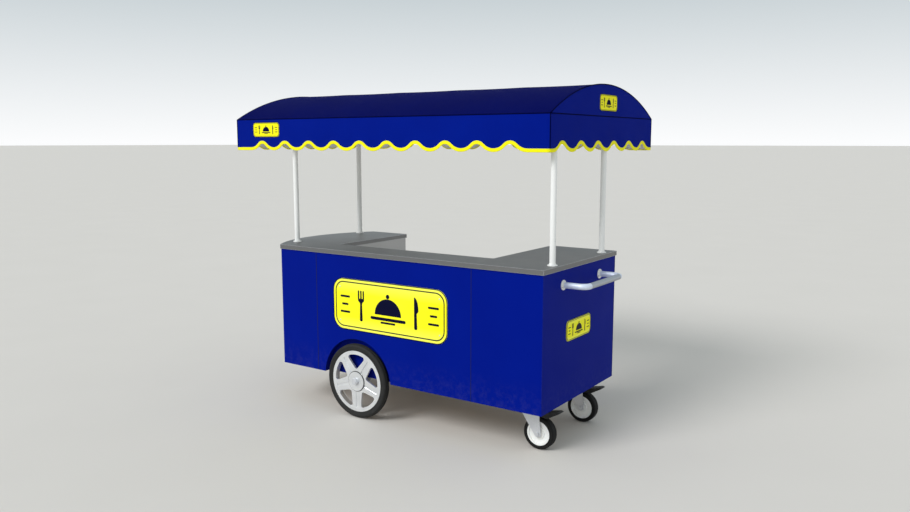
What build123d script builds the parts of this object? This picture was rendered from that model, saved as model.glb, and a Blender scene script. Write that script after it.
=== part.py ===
from build123d import *
import os
from math import atan, cos, pi, radians, sin, sqrt, tan

# Push vending cart, in millimetres, +Z up.
# While it is drawn, X runs along the front from the front left corner of the body
# towards the push handle, Y runs from the front face to the vendor's side, and Z = 0
# is the ground.  The last step moves the origin to the middle of the whole cart's
# footprint, on the ground.

# ------------------------------------------------------------------ driving sizes
# body
body_length = 1840.0          # flat front, corner to corner
body_depth = 886.0
axle_below_body = 21.6        # the wheel axle hangs this far under the panels' lower edge
end_bulge = 148.0             # how far the round left end stands out
worktop_height = 1000.0
worktop_overhang = 6.0
sheet = 2.0                   # painted sheet steel
seam_gap = 1.5                # open joint between two panels
left_panel_width = 296.0      # front of the left end, up to the first upright seam
right_panel_width = 428.0     # front of the right end, from the second seam

# vendor's bay, open to the rear
left_counter = 296.0          # worktop left and right of the cut-out, and ahead of it
right_counter = 424.0
front_counter = 213.0

# worktop
worktop_drop = 26.0           # folded edge
worktop_skin = 1.5
worktop_board = 18.0

# steel tube frame
chassis_tube = 40.0
frame_tube = 30.0
tube_wall = 2.0
rail_inset = 50.0             # free strip for the big wheels outside the main rails
deck_board = 12.0

# big wheels
wheel_from_seam = 55.0        # front panel's left seam to the wheel arch
wheel_radius = 224.4
tyre_width = 46.0
tyre_height = 44.0
wheel_proud = 10.0            # how far the wheel stands out of the body
rim_step = 4.0                # the rim is this much narrower than the tyre, each side
rim_rise = 3.6                # rim flange above the tyre's bead
rim_depth = 22.0              # flange to spoke windows
rim_flange = 4.5
tread_crown = 3.0             # drop from the middle of the tread to its edge
tread_groove = 2.4
tread_groove_depth = 3.2
spoke_count = 5
spoke_thickness = 12.0
spoke_set_back = 5.0
spoke_groove_width = 15.0
spoke_groove_depth = 4.0
window_from_disc = 12.0       # hub disc to the tip of a window
window_half_angle = 42.0
window_corner = 14.0
hub_disc_radius = 58.0
hub_disc_thickness = 8.0
hub_radius = 32.0
hub_length = 48.0
bearing_outer = 47.0
bearing_width = 12.0
axle_diameter = 25.0
arch_clearance = 29.6         # between tyre and wheel arch
wheel_back_gap = 4.0          # between the tyre and the back of its well
rear_panel_rise = 18.0        # rear low panel above the wheel arch
hanger_width = 60.0
hanger_below_axle = 22.0
axle_nut_flats = 36.0
axle_nut_height = 13.0
axle_washer_diameter = 46.0
axle_washer_thickness = 3.0
axle_thread_proud = 2.0

# casters
caster_from_end = 150.0       # swivel axis from the right end
caster_inset = 180.0          # swivel axis from the front and the rear face
caster_trail = 50.0
caster_radius = 89.5
caster_tyre_width = 50.0
caster_tyre_height = 22.0
caster_plate_length = 116.0
caster_plate_width = 100.0
caster_plate_thickness = 6.0
caster_bolt_x = 80.0          # bolt pattern of the top plate
caster_bolt_y = 60.0
caster_bolt_diameter = 10.0
swivel_boss_radius = 32.0
swivel_boss_height = 12.0
race_height = 6.0
fork_plate = 5.0
fork_crown = 6.0
fork_front = 48.0             # crown, ahead of and behind the swivel axis
fork_back = 56.0
fork_boss_radius = 19.0
king_pin_diameter = 14.0
king_nut_height = 8.0
caster_axle_diameter = 12.0
brake_pivot_x = 42.0          # from the swivel axis
brake_pivot_above_axle = 108.0
brake_pin_diameter = 8.0
brake_travel = 12.0           # degrees
brake_reach = 132.0           # pivot to the end of the pedal
pedal_thickness = 4.0
pedal_width = 58.0

# posts and canopy
post_diameter = 32.0
post_wall = 2.0
spigot_length = 60.0          # joiner between the canopy frame and each post
post_past_left = 20.0         # left posts, on the round end's part of the worktop
post_inset_right = 34.0
post_inset_front = 161.0
post_inset_rear = 119.0
canopy_past_left = 451.0      # canopy beyond the body's left corner
canopy_inset_right = 14.0
canopy_inset_front = 76.0
canopy_past_rear = 541.0
valance_bottom = 1578.0
eave_height = 1771.4
canopy_rise = 175.6
cloth = 2.0
binding_width = 24.0
binding_thickness = 3.0
scallop_rise = 41.0
front_scallop_pitch = 202.3
front_scallop_margin = 60.0   # least straight edge beside the first and last scallop
end_scallop_pitch = 215.0
end_scallop_margin = 20.0
notch_radius = 42.0
bow_tube = 20.0
middle_bows = 3
purlin_angle = 14.0

# tube flanges and their screws
flange_radius = 27.0
flange_thickness = 4.0
collar_wall = 1.8
collar_height = 12.0
screw_circle_radius = 21.6
screw_diameter = 4.0
screw_head_radius = 3.4
screw_head_height = 2.2
screw_length = 14.0

# push handle
handle_below_top = 106.0      # under the worktop's upper face
handle_span = 448.0           # between the two arms
handle_offset = 1.5           # towards the rear from the middle of the end
handle_reach = 132.0
handle_diameter = 32.0
handle_bend = 40.0
grip_wall = 2.5

# cabinets
door_gap = 3.0
door_above_deck = 22.0
door_below_top = 70.0
door_margin = 4.0             # from the uprights to the opening
door_lip = 8.0                # extra margin on the latch side
door_rib = 14.0
door_swing = 110.0
hinge_radius = 6.0
hinge_height = 26.0
hinge_pin_radius = 3.0
hinge_tab = 14.0
latch_from_edge = 28.0
latch_below_top = 350.0
latch_spindle = 12.0
latch_bar = 76.0
shelf_below_top = 390.0
shelf_sheet = 1.5
shelf_lip = 20.0
cleat_leg = 20.0
cleat_sheet = 2.0

# signs: plain yellow plates, well rounded
front_sign_size = (826.0, 306.0)
front_sign_left_shift = 6.0   # from the middle of the front panel
front_sign_below_top = 316.0
end_sign_size = (296.0, 114.0)
end_sign_front_shift = 31.0
end_sign_below_top = 365.0
canopy_sign_size = (236.0, 92.0)
canopy_sign_from_corner = 266.5
canopy_sign_below_eave = 65.0
canopy_sign_rear_shift = 18.0
canopy_sign_above_eave = 75.0
sign_plate = 3.0

# clearances
running = 0.05                # radial, shaft in bore
snug = 0.1                    # between faces that only just part
soft = 0.3                    # cloth to frame

# ------------------------------------------------------------------ derived places
body_bottom = wheel_radius + axle_below_body
front_panel_x0 = left_panel_width
front_panel_x1 = body_length - right_panel_width
bay_x0 = left_counter
bay_x1 = body_length - right_counter
bay_y0 = front_counter
wheel_axle_z = wheel_radius
wheel_y0 = -wheel_proud
wheel_y1 = body_depth + wheel_proud
rim_ring_width = tyre_width - 2 * rim_step
rim_radius = wheel_radius - tyre_height + rim_rise
rim_window_radius = rim_radius - rim_depth
window_apex = hub_disc_radius + window_from_disc
well_depth = tyre_width - wheel_proud + wheel_back_gap
arch_radius = wheel_radius + arch_clearance
wheel_x = front_panel_x0 + wheel_from_seam + arch_radius
worktop_under = worktop_height - worktop_drop
board_top = worktop_height - worktop_skin
panel_top = board_top - worktop_board
deck_under = body_bottom + chassis_tube
deck_top = deck_under + deck_board
door_opening_bottom = deck_top + door_above_deck
door_opening_top = worktop_height - door_below_top
latch_height = worktop_height - latch_below_top
shelf_height = worktop_height - shelf_below_top
wall_x0 = bay_x0 - worktop_overhang
wall_x1 = bay_x1 + worktop_overhang
wall_y0 = bay_y0 - worktop_overhang
chord = body_depth / 2
bulge_radius = (chord ** 2 + end_bulge ** 2) / (2 * end_bulge)
bulge_center_x = bulge_radius - end_bulge
plate_bottom = body_bottom - caster_plate_thickness
boss_bottom = plate_bottom - swivel_boss_height
crown_top = boss_bottom - race_height
crown_bottom = crown_top - fork_crown
caster_x = body_length - caster_from_end
caster_ys = (caster_inset, body_depth - caster_inset)
fork_inner = caster_tyre_width / 2 + 3.0
fork_outer = fork_inner + fork_plate
post_x0 = -post_past_left
post_x1 = body_length - post_inset_right
post_y0 = post_inset_front
post_y1 = body_depth - post_inset_rear
canopy_x0 = -canopy_past_left
canopy_x1 = body_length - canopy_inset_right
canopy_y0 = canopy_inset_front
canopy_y1 = body_depth + canopy_past_rear
front_scallops = int((canopy_x1 - canopy_x0 - 2 * front_scallop_margin) / front_scallop_pitch)
end_scallops = int((canopy_y1 - canopy_y0 - 2 * end_scallop_margin) / end_scallop_pitch)
canopy_mid_y = (canopy_y0 + canopy_y1) / 2
half_chord = (canopy_y1 - canopy_y0) / 2
roof_radius = (half_chord ** 2 + canopy_rise ** 2) / (2 * canopy_rise)
roof_center_z = eave_height + canopy_rise - roof_radius
rail_top = eave_height - 2 * cloth
rail_bottom = rail_top - frame_tube
rail_x0 = canopy_x0 + cloth + soft
rail_x1 = canopy_x1 - cloth - soft
rail_y0 = canopy_y0 + cloth + soft
rail_y1 = canopy_y1 - cloth - soft
handle_x = body_length + handle_reach
handle_height = worktop_height - handle_below_top
handle_y0 = (body_depth - handle_span) / 2 + handle_offset
handle_y1 = handle_y0 + handle_span
nut_face_y = wheel_y0 - axle_washer_thickness - axle_nut_height
origin_x = (canopy_x0 + handle_x + handle_diameter / 2) / 2
origin_y = (nut_face_y - axle_thread_proud + canopy_y1 + (binding_thickness - cloth) / 2) / 2

nodes = {}


# ------------------------------------------------------------------ small helpers
def block(x0, x1, y0, y1, z0, z1):
    """A box between two corners."""
    middle = Pos((x0 + x1) / 2, (y0 + y1) / 2, (z0 + z1) / 2)
    return middle * Box(x1 - x0, y1 - y0, z1 - z0)


def rod(axis, start, end, radius, at):
    """A round bar along one axis; at holds its place on the other two axes."""
    middle, length = (start + end) / 2, abs(end - start)
    if axis == "X":
        return Pos(middle, at[0], at[1]) * Rot(0, 90, 0) * Cylinder(radius, length)
    if axis == "Y":
        return Pos(at[0], middle, at[1]) * Rot(90, 0, 0) * Cylinder(radius, length)
    return Pos(at[0], at[1], middle) * Cylinder(radius, length)


def square_tube(x0, x1, y0, y1, z0, z1, along):
    """A square steel tube, open at both ends."""
    w = tube_wall
    trim = {"X": (0, w, w), "Y": (w, 0, w), "Z": (w, w, 0)}[along]
    bore = block(x0 + trim[0], x1 - trim[0], y0 + trim[1], y1 - trim[1],
                 z0 + trim[2], z1 - trim[2])
    return block(x0, x1, y0, y1, z0, z1) - bore


def hexagon_bar(flats, start, end, at):
    """A hexagonal bar along Y, for nuts and bolt heads."""
    profile = RegularPolygon(flats / 2, 6, major_radius=False)
    bar = extrude(profile, abs(end - start) / 2, both=True)
    return Pos(at[0], (start + end) / 2, at[1]) * Rot(90, 0, 0) * bar


def group(solids):
    return Compound(children=list(solids))


def body_plan(offset):
    """Outline of the body seen from above, grown by an offset."""
    y0, y1, x1 = -offset, body_depth + offset, body_length + offset
    radius = bulge_radius + offset
    x0 = bulge_center_x - sqrt(radius ** 2 - (chord + offset) ** 2)
    tip = bulge_center_x - radius
    edge = Polyline((x0, y1), (x1, y1), (x1, y0), (x0, y0))
    return make_face(edge + ThreePointArc((x0, y0), (tip, chord), (x0, y1)))


def plan_block(offset, z0, z1):
    return Pos(0, 0, z0) * extrude(body_plan(offset), z1 - z0)


# ------------------------------------------------------------------ chassis and frame
main_rail_y0 = rail_inset
main_rail_y1 = rail_inset + chassis_tube
bay_upright_x0 = wall_x0 - sheet - frame_tube
bay_upright_x1 = wall_x1 + sheet
upright_front = sheet
upright_rear = body_depth - sheet - frame_tube
bay_corner_y = wall_y0 - sheet - frame_tube
right_upright_x = body_length - sheet - frame_tube
seam_uprights = (front_panel_x0 - frame_tube / 2, front_panel_x1 - frame_tube / 2)

# (x, y) of the lower corner of each upright
upright_places = [
    (sheet, upright_front),
    (seam_uprights[0], upright_front),
    (seam_uprights[1], upright_front),
    (right_upright_x, upright_front),
    (bay_upright_x0, bay_corner_y),
    (bay_upright_x1, bay_corner_y),
    (sheet, upright_rear),
    (bay_upright_x0, upright_rear),
    (bay_upright_x1, upright_rear),
    (right_upright_x, upright_rear),
]


def cross_member_places():
    """Left edges of the cross members, from the round end to the casters."""
    half = chassis_tube / 2
    bay_left = bay_upright_x0 + frame_tube / 2 - half
    bay_right = bay_upright_x1 + frame_tube / 2 - half
    between = (bay_left + bay_right) / 2
    casters = [caster_x + side * caster_bolt_x / 2 - half for side in (-1, 1)]
    return [main_rail_x0(), bay_left, between, bay_right] + casters


def main_rail_x0():
    """Where the main rails start, just inside the round end."""
    inner = bulge_radius - sheet
    return bulge_center_x - sqrt(inner ** 2 - (chord - main_rail_y0) ** 2) + 8.0


def make_chassis():
    z0, z1 = body_bottom, deck_under
    end_x0 = body_length - sheet - chassis_tube
    tubes = []
    for y0 in (main_rail_y0, body_depth - main_rail_y1):
        tubes.append(square_tube(main_rail_x0(), end_x0, y0, y0 + chassis_tube, z0, z1, "X"))
    for x0 in cross_member_places():
        tubes.append(square_tube(x0, x0 + chassis_tube, main_rail_y1,
                                 body_depth - main_rail_y1, z0, z1, "Y"))
    tubes.append(square_tube(end_x0, end_x0 + chassis_tube, sheet,
                             body_depth - sheet, z0, z1, "Y"))
    # short outriggers carry the uprights that stand outside the main rails
    for x, y in upright_places:
        x0 = max(sheet, x + (frame_tube - chassis_tube) / 2)
        if x0 + chassis_tube > end_x0 or y == bay_corner_y:
            continue
        y0, y1 = sheet, main_rail_y0
        if y == upright_rear:
            y0, y1 = body_depth - main_rail_y0, body_depth - sheet
        tubes.append(square_tube(x0, x0 + chassis_tube, y0, y1, z0, z1, "Y"))
    drills = [
        rod("Z", z0 - 1, z0 + tube_wall + 1, caster_bolt_diameter / 2 + 0.25, (x, y))
        for x, y in caster_bolt_places()
    ]
    nodes["chassis_tubes"] = group([tube - drills for tube in tubes])


def make_uprights():
    nodes["frame_uprights"] = group(
        square_tube(x, x + frame_tube, y, y + frame_tube, deck_under, panel_top, "Z")
        for x, y in upright_places
    )


def make_top_rails():
    """Rails under the worktop, from upright to upright."""
    t = frame_tube
    z0, z1 = panel_top - t, panel_top
    left, seam0, seam1 = sheet, seam_uprights[0], seam_uprights[1]
    right, bay0, bay1 = right_upright_x, bay_upright_x0, bay_upright_x1
    runs = [("X", a + t, b, upright_front) for a, b in ((left, seam0), (seam0, seam1), (seam1, right))]
    runs += [("X", a + t, b, upright_rear) for a, b in ((left, bay0), (bay1, right))]
    runs += [("X", bay0 + t, bay1, bay_corner_y)]
    runs += [("Y", bay_corner_y + t, upright_rear, x) for x in (bay0, bay1)]
    runs += [("Y", upright_front + t, upright_rear, right)]
    rails = []
    for along, start, end, side in runs:
        if along == "X":
            rails.append(square_tube(start, end, side, side + t, z0, z1, along))
        else:
            rails.append(square_tube(side, side + t, start, end, z0, z1, along))
    nodes["frame_top_rails"] = group(rails)


def make_deck():
    """A board under the cabinets, which the bay's walls stand on, and one in the bay."""
    deck = plan_block(-sheet - snug, deck_under, deck_top)
    grow = 0.5
    for x, y in upright_places:
        deck -= block(x - grow, x + frame_tube + grow, y - grow, y + frame_tube + grow,
                      deck_under - 1, deck_top + 1)
    half = arch_radius + sheet + grow
    depth = well_depth + 2 * sheet + grow
    for y0, y1 in ((-1, depth), (body_depth - depth, body_depth + 1)):
        deck -= block(wheel_x - half, wheel_x + half, y0, y1, deck_under - 1, deck_top + 1)
    z0, z1 = deck_under - 1, deck_top + 1
    bay = block(wall_x0 + snug, wall_x1 - snug, wall_y0 + snug, 2 * body_depth, z0, z1)
    around = deck - block(wall_x0, wall_x1, wall_y0, 2 * body_depth, z0, z1)
    nodes["deck_floor"] = group([around, deck & bay])


# ------------------------------------------------------------------ panels
def arch_cut(y0, y1, radius):
    return rod("Y", y0, y1, radius, (wheel_x, wheel_axle_z))


def make_front_panel():
    panel = block(front_panel_x0 + seam_gap / 2, front_panel_x1 - seam_gap / 2,
                  0, sheet, body_bottom, panel_top)
    nodes["front_panel"] = panel - arch_cut(-1, sheet + 1, arch_radius)


def make_left_end_panel():
    """One sheet: the flat front corner and the whole round end."""
    ring = plan_block(0, body_bottom, panel_top) - plan_block(-sheet, body_bottom - 1, panel_top + 1)
    keep = block(-end_bulge - 10, front_panel_x0 - seam_gap / 2, -10, body_depth - sheet,
                 body_bottom - 1, panel_top + 1)
    nodes["left_end_panel"] = ring & keep


def make_right_end_panel():
    """One sheet bent at the corner, with the push handle's end wall."""
    front = block(front_panel_x1 + seam_gap / 2, body_length, 0, sheet, body_bottom, panel_top)
    end = block(body_length - sheet, body_length, 0, body_depth - sheet, body_bottom, panel_top)
    nodes["right_end_panel"] = front + end


def make_rear_low_panel():
    """Low panel between the cabinets; it closes the space round the rear wheel."""
    top = wheel_axle_z + arch_radius + sheet + rear_panel_rise
    x0, x1 = wall_x0 + seam_gap / 2, wall_x1 - seam_gap / 2
    panel = block(x0, x1, body_depth - sheet, body_depth, body_bottom, top)
    panel -= arch_cut(body_depth - sheet - 1, body_depth + 1, arch_radius)
    ledge = block(x0, x1, body_depth - well_depth - sheet, body_depth - sheet, top - sheet, top)
    nodes["rear_low_panel"] = panel + ledge


def make_wheel_wells():
    """Shallow half round pans that close the wheel arches."""
    wells = []
    for face, inward in ((sheet, 1), (body_depth - sheet, -1)):
        back = face + inward * (well_depth - sheet)
        outer = arch_cut(face, back + inward * sheet, arch_radius + sheet)
        inner = arch_cut(face - inward, back, arch_radius)
        above = block(wheel_x - 2 * arch_radius, wheel_x + 2 * arch_radius, -body_depth,
                      2 * body_depth, body_bottom, worktop_height)
        wells.append((outer - inner) & above)
    nodes["wheel_wells"] = group(wells)


def make_bay_walls():
    z0, z1 = deck_top, panel_top
    rear = body_depth
    left = block(wall_x0 - sheet, wall_x0, wall_y0, rear, z0, z1)
    right = block(wall_x1, wall_x1 + sheet, wall_y0, rear, z0, z1)
    front = block(wall_x0 - sheet, wall_x1 + sheet, wall_y0 - sheet, wall_y0, z0, z1)
    nodes["bay_wall_panels"] = group([left, right, front])


# ------------------------------------------------------------------ worktop
def bay_cut(grow, z0, z1):
    """The cut-out of the U shaped worktop, widened by grow on its three sides."""
    return block(bay_x0 - grow, bay_x1 + grow, bay_y0 - grow, 2 * body_depth, z0, z1)


def make_worktop():
    top, under = worktop_height, worktop_under
    skin = plan_block(worktop_overhang, under, top) - bay_cut(0, under - 1, top + 1)
    core_room = plan_block(worktop_overhang - worktop_skin, under - 1, board_top)
    core_room -= bay_cut(worktop_skin, under - 2, top + 1)
    nodes["worktop_sheet"] = skin - core_room
    board = plan_block(worktop_overhang - worktop_skin, panel_top, board_top)
    nodes["worktop_board"] = board - bay_cut(worktop_skin, panel_top - 1, board_top + 1)


# ------------------------------------------------------------------ cabinets
def cabinet_openings():
    """Door openings: name, low x, high x, and the side that carries the hinges."""
    left = (sheet + frame_tube + door_margin, bay_upright_x0 - door_lip)
    right = (bay_upright_x1 + frame_tube + door_lip, right_upright_x - door_margin)
    return (("left", *left, 1), ("right", *right, -1))


def hinge_axis(name):
    """Upright axis of a door's hinges, seen from above."""
    for side, x0, x1, hand in cabinet_openings():
        if side == name:
            return (x0 + door_gap / 2 if hand > 0 else x1 - door_gap / 2,
                    body_depth + hinge_radius + 0.5)


def latch_axis(name):
    for side, x0, x1, hand in cabinet_openings():
        if side == name:
            edge = x1 - door_gap if hand > 0 else x0 + door_gap
            return (edge - hand * latch_from_edge, latch_height)


def hinge_levels():
    span = door_opening_top - door_opening_bottom
    return [door_opening_bottom + share * span for share in (0.14, 0.86)]


def make_rear_frames():
    for name, x0, x1, hand in cabinet_openings():
        if hand > 0:
            low, high = body_plan_rear_x(), bay_upright_x0 + frame_tube
        else:
            low, high = bay_upright_x1, body_length
        plate = block(low, high, body_depth - sheet, body_depth, body_bottom, panel_top)
        hole = block(x0, x1, body_depth - sheet - 1, body_depth + 1,
                     door_opening_bottom, door_opening_top)
        nodes[f"{name}_rear_frame"] = plate - hole


def body_plan_rear_x():
    """Left end of the flat rear face, where the round end meets it."""
    return bulge_center_x - sqrt(bulge_radius ** 2 - chord ** 2)


def hinge_half(name, level, moving):
    """One half of a lift-off hinge: a barrel welded on a flat tab."""
    x, y = hinge_axis(name)
    side = 1 if (name == "left") == moving else -1
    z0 = level + snug if moving else level - hinge_height
    z1 = level + hinge_height if moving else level
    barrel = rod("Z", z0, z1, hinge_radius, (x, y))
    low, high = sorted((x, x + side * hinge_tab))
    return barrel + block(low, high, body_depth, body_depth + sheet, z0, z1)


def make_hinges_and_doors():
    fixed = []
    for name, x0, x1, hand in cabinet_openings():
        axis = hinge_axis(name)
        y1 = body_depth
        low, high = x0 + door_gap, x1 - door_gap
        z0, z1 = door_opening_bottom + door_gap, door_opening_top - door_gap
        door = block(low, high, y1 - sheet, y1, z0, z1)
        rib_low, rib_high = low + 12, high - 12
        if hand > 0:
            rib_high = high - latch_from_edge - 24
        else:
            rib_low = low + latch_from_edge + 24
        rib = block(rib_low, rib_high, y1 - sheet - door_rib, y1 - sheet, z0 + 12, z1 - 12)
        rib -= block(rib_low + door_rib, rib_high - door_rib, y1 - sheet - door_rib - 1,
                     y1 - sheet + 1, z0 + 12 + door_rib, z1 - 12 - door_rib)
        door += rib
        spindle = latch_axis(name)
        door -= rod("Y", y1 - sheet - 1, y1 + 1, latch_spindle / 2 + running, spindle)
        for level in hinge_levels():
            pin = rod("Z", level - hinge_height, level + hinge_height - 2,
                      hinge_pin_radius, axis)
            fixed.append(hinge_half(name, level, False) + pin)
            bore = rod("Z", level - 1, level + hinge_height + 1,
                       hinge_pin_radius + running, axis)
            door += hinge_half(name, level, True) - bore
        nodes[f"{name}_door"] = door
        nodes[f"{name}_door_latch"] = make_latch(name)
    nodes["door_hinges"] = group(fixed)


def make_latch(name):
    """Turn handle: bar outside, spindle through the door, cam behind it."""
    x, z = latch_axis(name)
    outside, inside = body_depth, body_depth - sheet
    cam_reach = latch_from_edge + door_gap + door_lip - 2.5
    spindle = rod("Y", inside - 4.0, outside + 14, latch_spindle / 2, (x, z))
    rose = rod("Y", outside + snug, outside + 4, latch_spindle, (x, z))
    bar = block(x - 7, x + 7, outside + 12, outside + 22, z - latch_bar / 2, z + latch_bar / 2)
    bar = fillet(bar.edges(), 3.0)
    cam = block(x - 8, x + 8, inside - 4.0, inside - 1.0, z - cam_reach, z + 8)
    return spindle + rose + bar + cam


def make_shelves():
    """Folded trays on angle cleats, one in each cabinet."""
    y0, y1 = upright_front + frame_tube, upright_rear
    edge = y0 + cleat_sheet
    round_wall = bulge_center_x - sqrt((bulge_radius - sheet) ** 2 - (chord - edge) ** 2)
    rooms = (
        (round_wall + 4.0, wall_x0 - sheet - 1.0, 0.0, frame_tube),
        (wall_x1 + sheet + 1.0, body_length - sheet - 1.0, frame_tube, 0.0),
    )
    under = shelf_height - shelf_lip
    shelves, cleats = [], []
    for x0, x1, past_left, past_right in rooms:
        low, high = x0 + past_left, x1 - past_right
        tray = block(low, high, edge, y1 - cleat_sheet, under, shelf_height)
        w = shelf_sheet
        tray -= block(low + w, high - w, edge + w, y1 - cleat_sheet - w, under - 1, shelf_height - w)
        shelves.append(tray)
        for wall, inward in ((y0, 1), (y1, -1)):
            upright_leg = sorted((wall, wall + inward * cleat_sheet))
            flat_leg = sorted((wall, wall + inward * cleat_leg))
            cleats.append(block(x0, x1, *upright_leg, under - cleat_leg, shelf_height - 4)
                          + block(x0, x1, *flat_leg, under - cleat_sheet, under))
    nodes["cabinet_shelves"] = group(shelves)
    nodes["shelf_cleats"] = group(cleats)


# ------------------------------------------------------------------ big wheels
def wheel_frame(face, outward, shape):
    """Stand a wheel, modelled with its axle along +Z and its face at Z = 0, in its place."""
    turn = Rot(90, 0, 0) if outward < 0 else Rot(-90, 0, 0)
    return Pos(wheel_x, face, wheel_axle_z) * turn * shape


def ring_profile(points):
    """Turn a closed outline, given in the XZ plane, about the Z axis."""
    return revolve(Plane.XZ * make_face(Polyline(*points, close=True)), Axis.Z)


def tyre_solid():
    """Round shouldered tyre with two grooves round its tread; outer side at Z = 0."""
    radius, width = wheel_radius, tyre_width
    inner = radius - tyre_height
    shoulder = 0.42 * tyre_height
    flange = (tyre_width - rim_ring_width) / 2
    bead = flange + rim_flange + 0.5
    side_start = rim_radius + 2.0
    edge = Polyline((side_start, flange - width), (side_start - 1, bead - width), (inner, bead - width),
                    (inner, -bead), (side_start - 1, -bead), (side_start, -flange),
                    (radius - shoulder, 0))
    edge += ThreePointArc((radius - shoulder, 0), (radius - 0.28 * shoulder, -0.26 * shoulder),
                          (radius - tread_crown, -shoulder))
    edge += ThreePointArc((radius - tread_crown, -shoulder), (radius, -width / 2),
                          (radius - tread_crown, shoulder - width))
    edge += ThreePointArc((radius - tread_crown, shoulder - width),
                          (radius - 0.28 * shoulder, 0.26 * shoulder - width),
                          (radius - shoulder, -width))
    edge += Line((radius - shoulder, -width), (side_start, flange - width))
    tyre = revolve(Plane.XZ * make_face(edge), Axis.Z)
    cutter = Cylinder(radius + 1, tread_groove) - Cylinder(radius - tread_groove_depth, tread_groove)
    for offset in (-0.14 * width, 0.14 * width):
        tyre -= Pos(0, 0, -width / 2 + offset) * cutter
    return tyre


def rim_ring():
    """Rim section: two flanges and a dropped centre that the tyre sits on."""
    seat = wheel_radius - tyre_height
    well = rim_window_radius
    top = -(tyre_width - rim_ring_width) / 2
    low = top - rim_ring_width
    return ring_profile([
        (well, top), (rim_radius, top), (rim_radius, top - 1.5), (seat - snug, top - rim_flange),
        (seat - snug, top - 11), (seat - 8, top - 14), (seat - 8, low + 14),
        (seat - snug, low + 11), (seat - snug, low + rim_flange), (rim_radius, low + 1.5),
        (rim_radius, low), (well + 4, low), (well, low + 8),
    ])


def spoke_window():
    """Rounded triangle between two spokes, pointing at the hub, on the +Y side."""
    slope = tan(radians(window_half_angle))
    tall = rim_window_radius
    wedge = make_face(Polyline((0, window_apex), (slope * tall, window_apex + tall),
                               (-slope * tall, window_apex + tall), close=True))
    shape = wedge & Circle(rim_window_radius)
    return fillet(shape.vertices(), window_corner)


def rim_solid():
    spokes = Pos(0, 0, -spoke_set_back - spoke_thickness / 2) * Cylinder(
        rim_window_radius + 1, spoke_thickness)
    window = extrude(Pos(0, 0, -tyre_width) * spoke_window(), tyre_width + 1)
    groove_length = rim_window_radius - hub_disc_radius - 4
    groove = Pos(0, -hub_disc_radius - groove_length / 2 - 2, -spoke_set_back) * Box(
        spoke_groove_width, groove_length, 2 * spoke_groove_depth)
    turn = 360 / spoke_count
    for i in range(spoke_count):
        spokes -= Rot(0, 0, i * turn) * window
        spokes -= Rot(0, 0, i * turn) * groove
    body = spokes + rim_ring()
    body += Pos(0, 0, -hub_disc_thickness / 2) * Cylinder(hub_disc_radius, hub_disc_thickness)
    body += Pos(0, 0, -hub_length / 2) * Cylinder(hub_radius, hub_length)
    body -= Pos(0, 0, -hub_length / 2) * Cylinder(axle_diameter / 2 + 6, hub_length + 2)
    for z in (-bearing_width / 2, -hub_length + bearing_width / 2):
        body -= Pos(0, 0, z) * Cylinder(bearing_outer / 2, bearing_width)
    return body


def bearing_pair():
    bore = axle_diameter / 2 + running
    ring = Cylinder(bearing_outer / 2, bearing_width) - Cylinder(bore, bearing_width)
    return [Pos(0, 0, z) * ring for z in (-bearing_width / 2, -hub_length + bearing_width / 2)]


def make_big_wheels():
    tyre = tyre_solid()
    rim = rim_solid()
    for name, face, outward in (("front", wheel_y0, -1), ("rear", wheel_y1, 1)):
        nodes[f"{name}_wheel_tyre"] = wheel_frame(face, outward, tyre)
        nodes[f"{name}_wheel_rim"] = wheel_frame(face, outward, rim)
        nodes[f"{name}_wheel_bearings"] = group(
            wheel_frame(face, outward, ring) for ring in bearing_pair())


def make_axle():
    at = (wheel_x, wheel_axle_z)
    end0 = nut_face_y - axle_thread_proud
    end1 = body_depth - end0
    nodes["wheel_axle"] = rod("Y", end0, end1, axle_diameter / 2, at)
    bore = rod("Y", end0 - 1, end1 + 1, axle_diameter / 2 + running, at)
    hangers, spacers, nuts = [], [], []
    for y0, mirror in ((main_rail_y0, 1), (body_depth - main_rail_y1, -1)):
        block_low = wheel_axle_z - hanger_below_axle
        hanger = block(wheel_x - hanger_width / 2, wheel_x + hanger_width / 2, y0,
                       y0 + chassis_tube, block_low, body_bottom)
        lower = hanger.edges().filter_by(Axis.Y).sort_by(Axis.Z)[:2]
        hangers.append(fillet(lower, hanger_below_axle - 4) - bore)
    for face, outward, rail in ((wheel_y0, -1, main_rail_y0),
                                (wheel_y1, 1, body_depth - main_rail_y0)):
        hub_end = face - outward * hub_length
        spacer = rod("Y", hub_end - outward * snug, rail, axle_diameter / 2 + 5, at)
        spacers.append(spacer - bore)
        washer_face = face + outward * axle_washer_thickness
        washer = rod("Y", face + outward * snug, washer_face, axle_washer_diameter / 2, at)
        nuts.append(washer - bore)
        nut_end = washer_face + outward * axle_nut_height
        nut = hexagon_bar(axle_nut_flats, washer_face, nut_end, at) - bore
        nuts.append(nut)
    nodes["axle_hangers"] = group(hangers)
    nodes["axle_spacers"] = group(spacers)
    nodes["axle_nuts"] = group(nuts)


# ------------------------------------------------------------------ casters
def caster_bolt_places():
    return [
        (caster_x + i * caster_bolt_x / 2, y + j * caster_bolt_y / 2)
        for y in caster_ys for i in (-1, 1) for j in (-1, 1)
    ]


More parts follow.
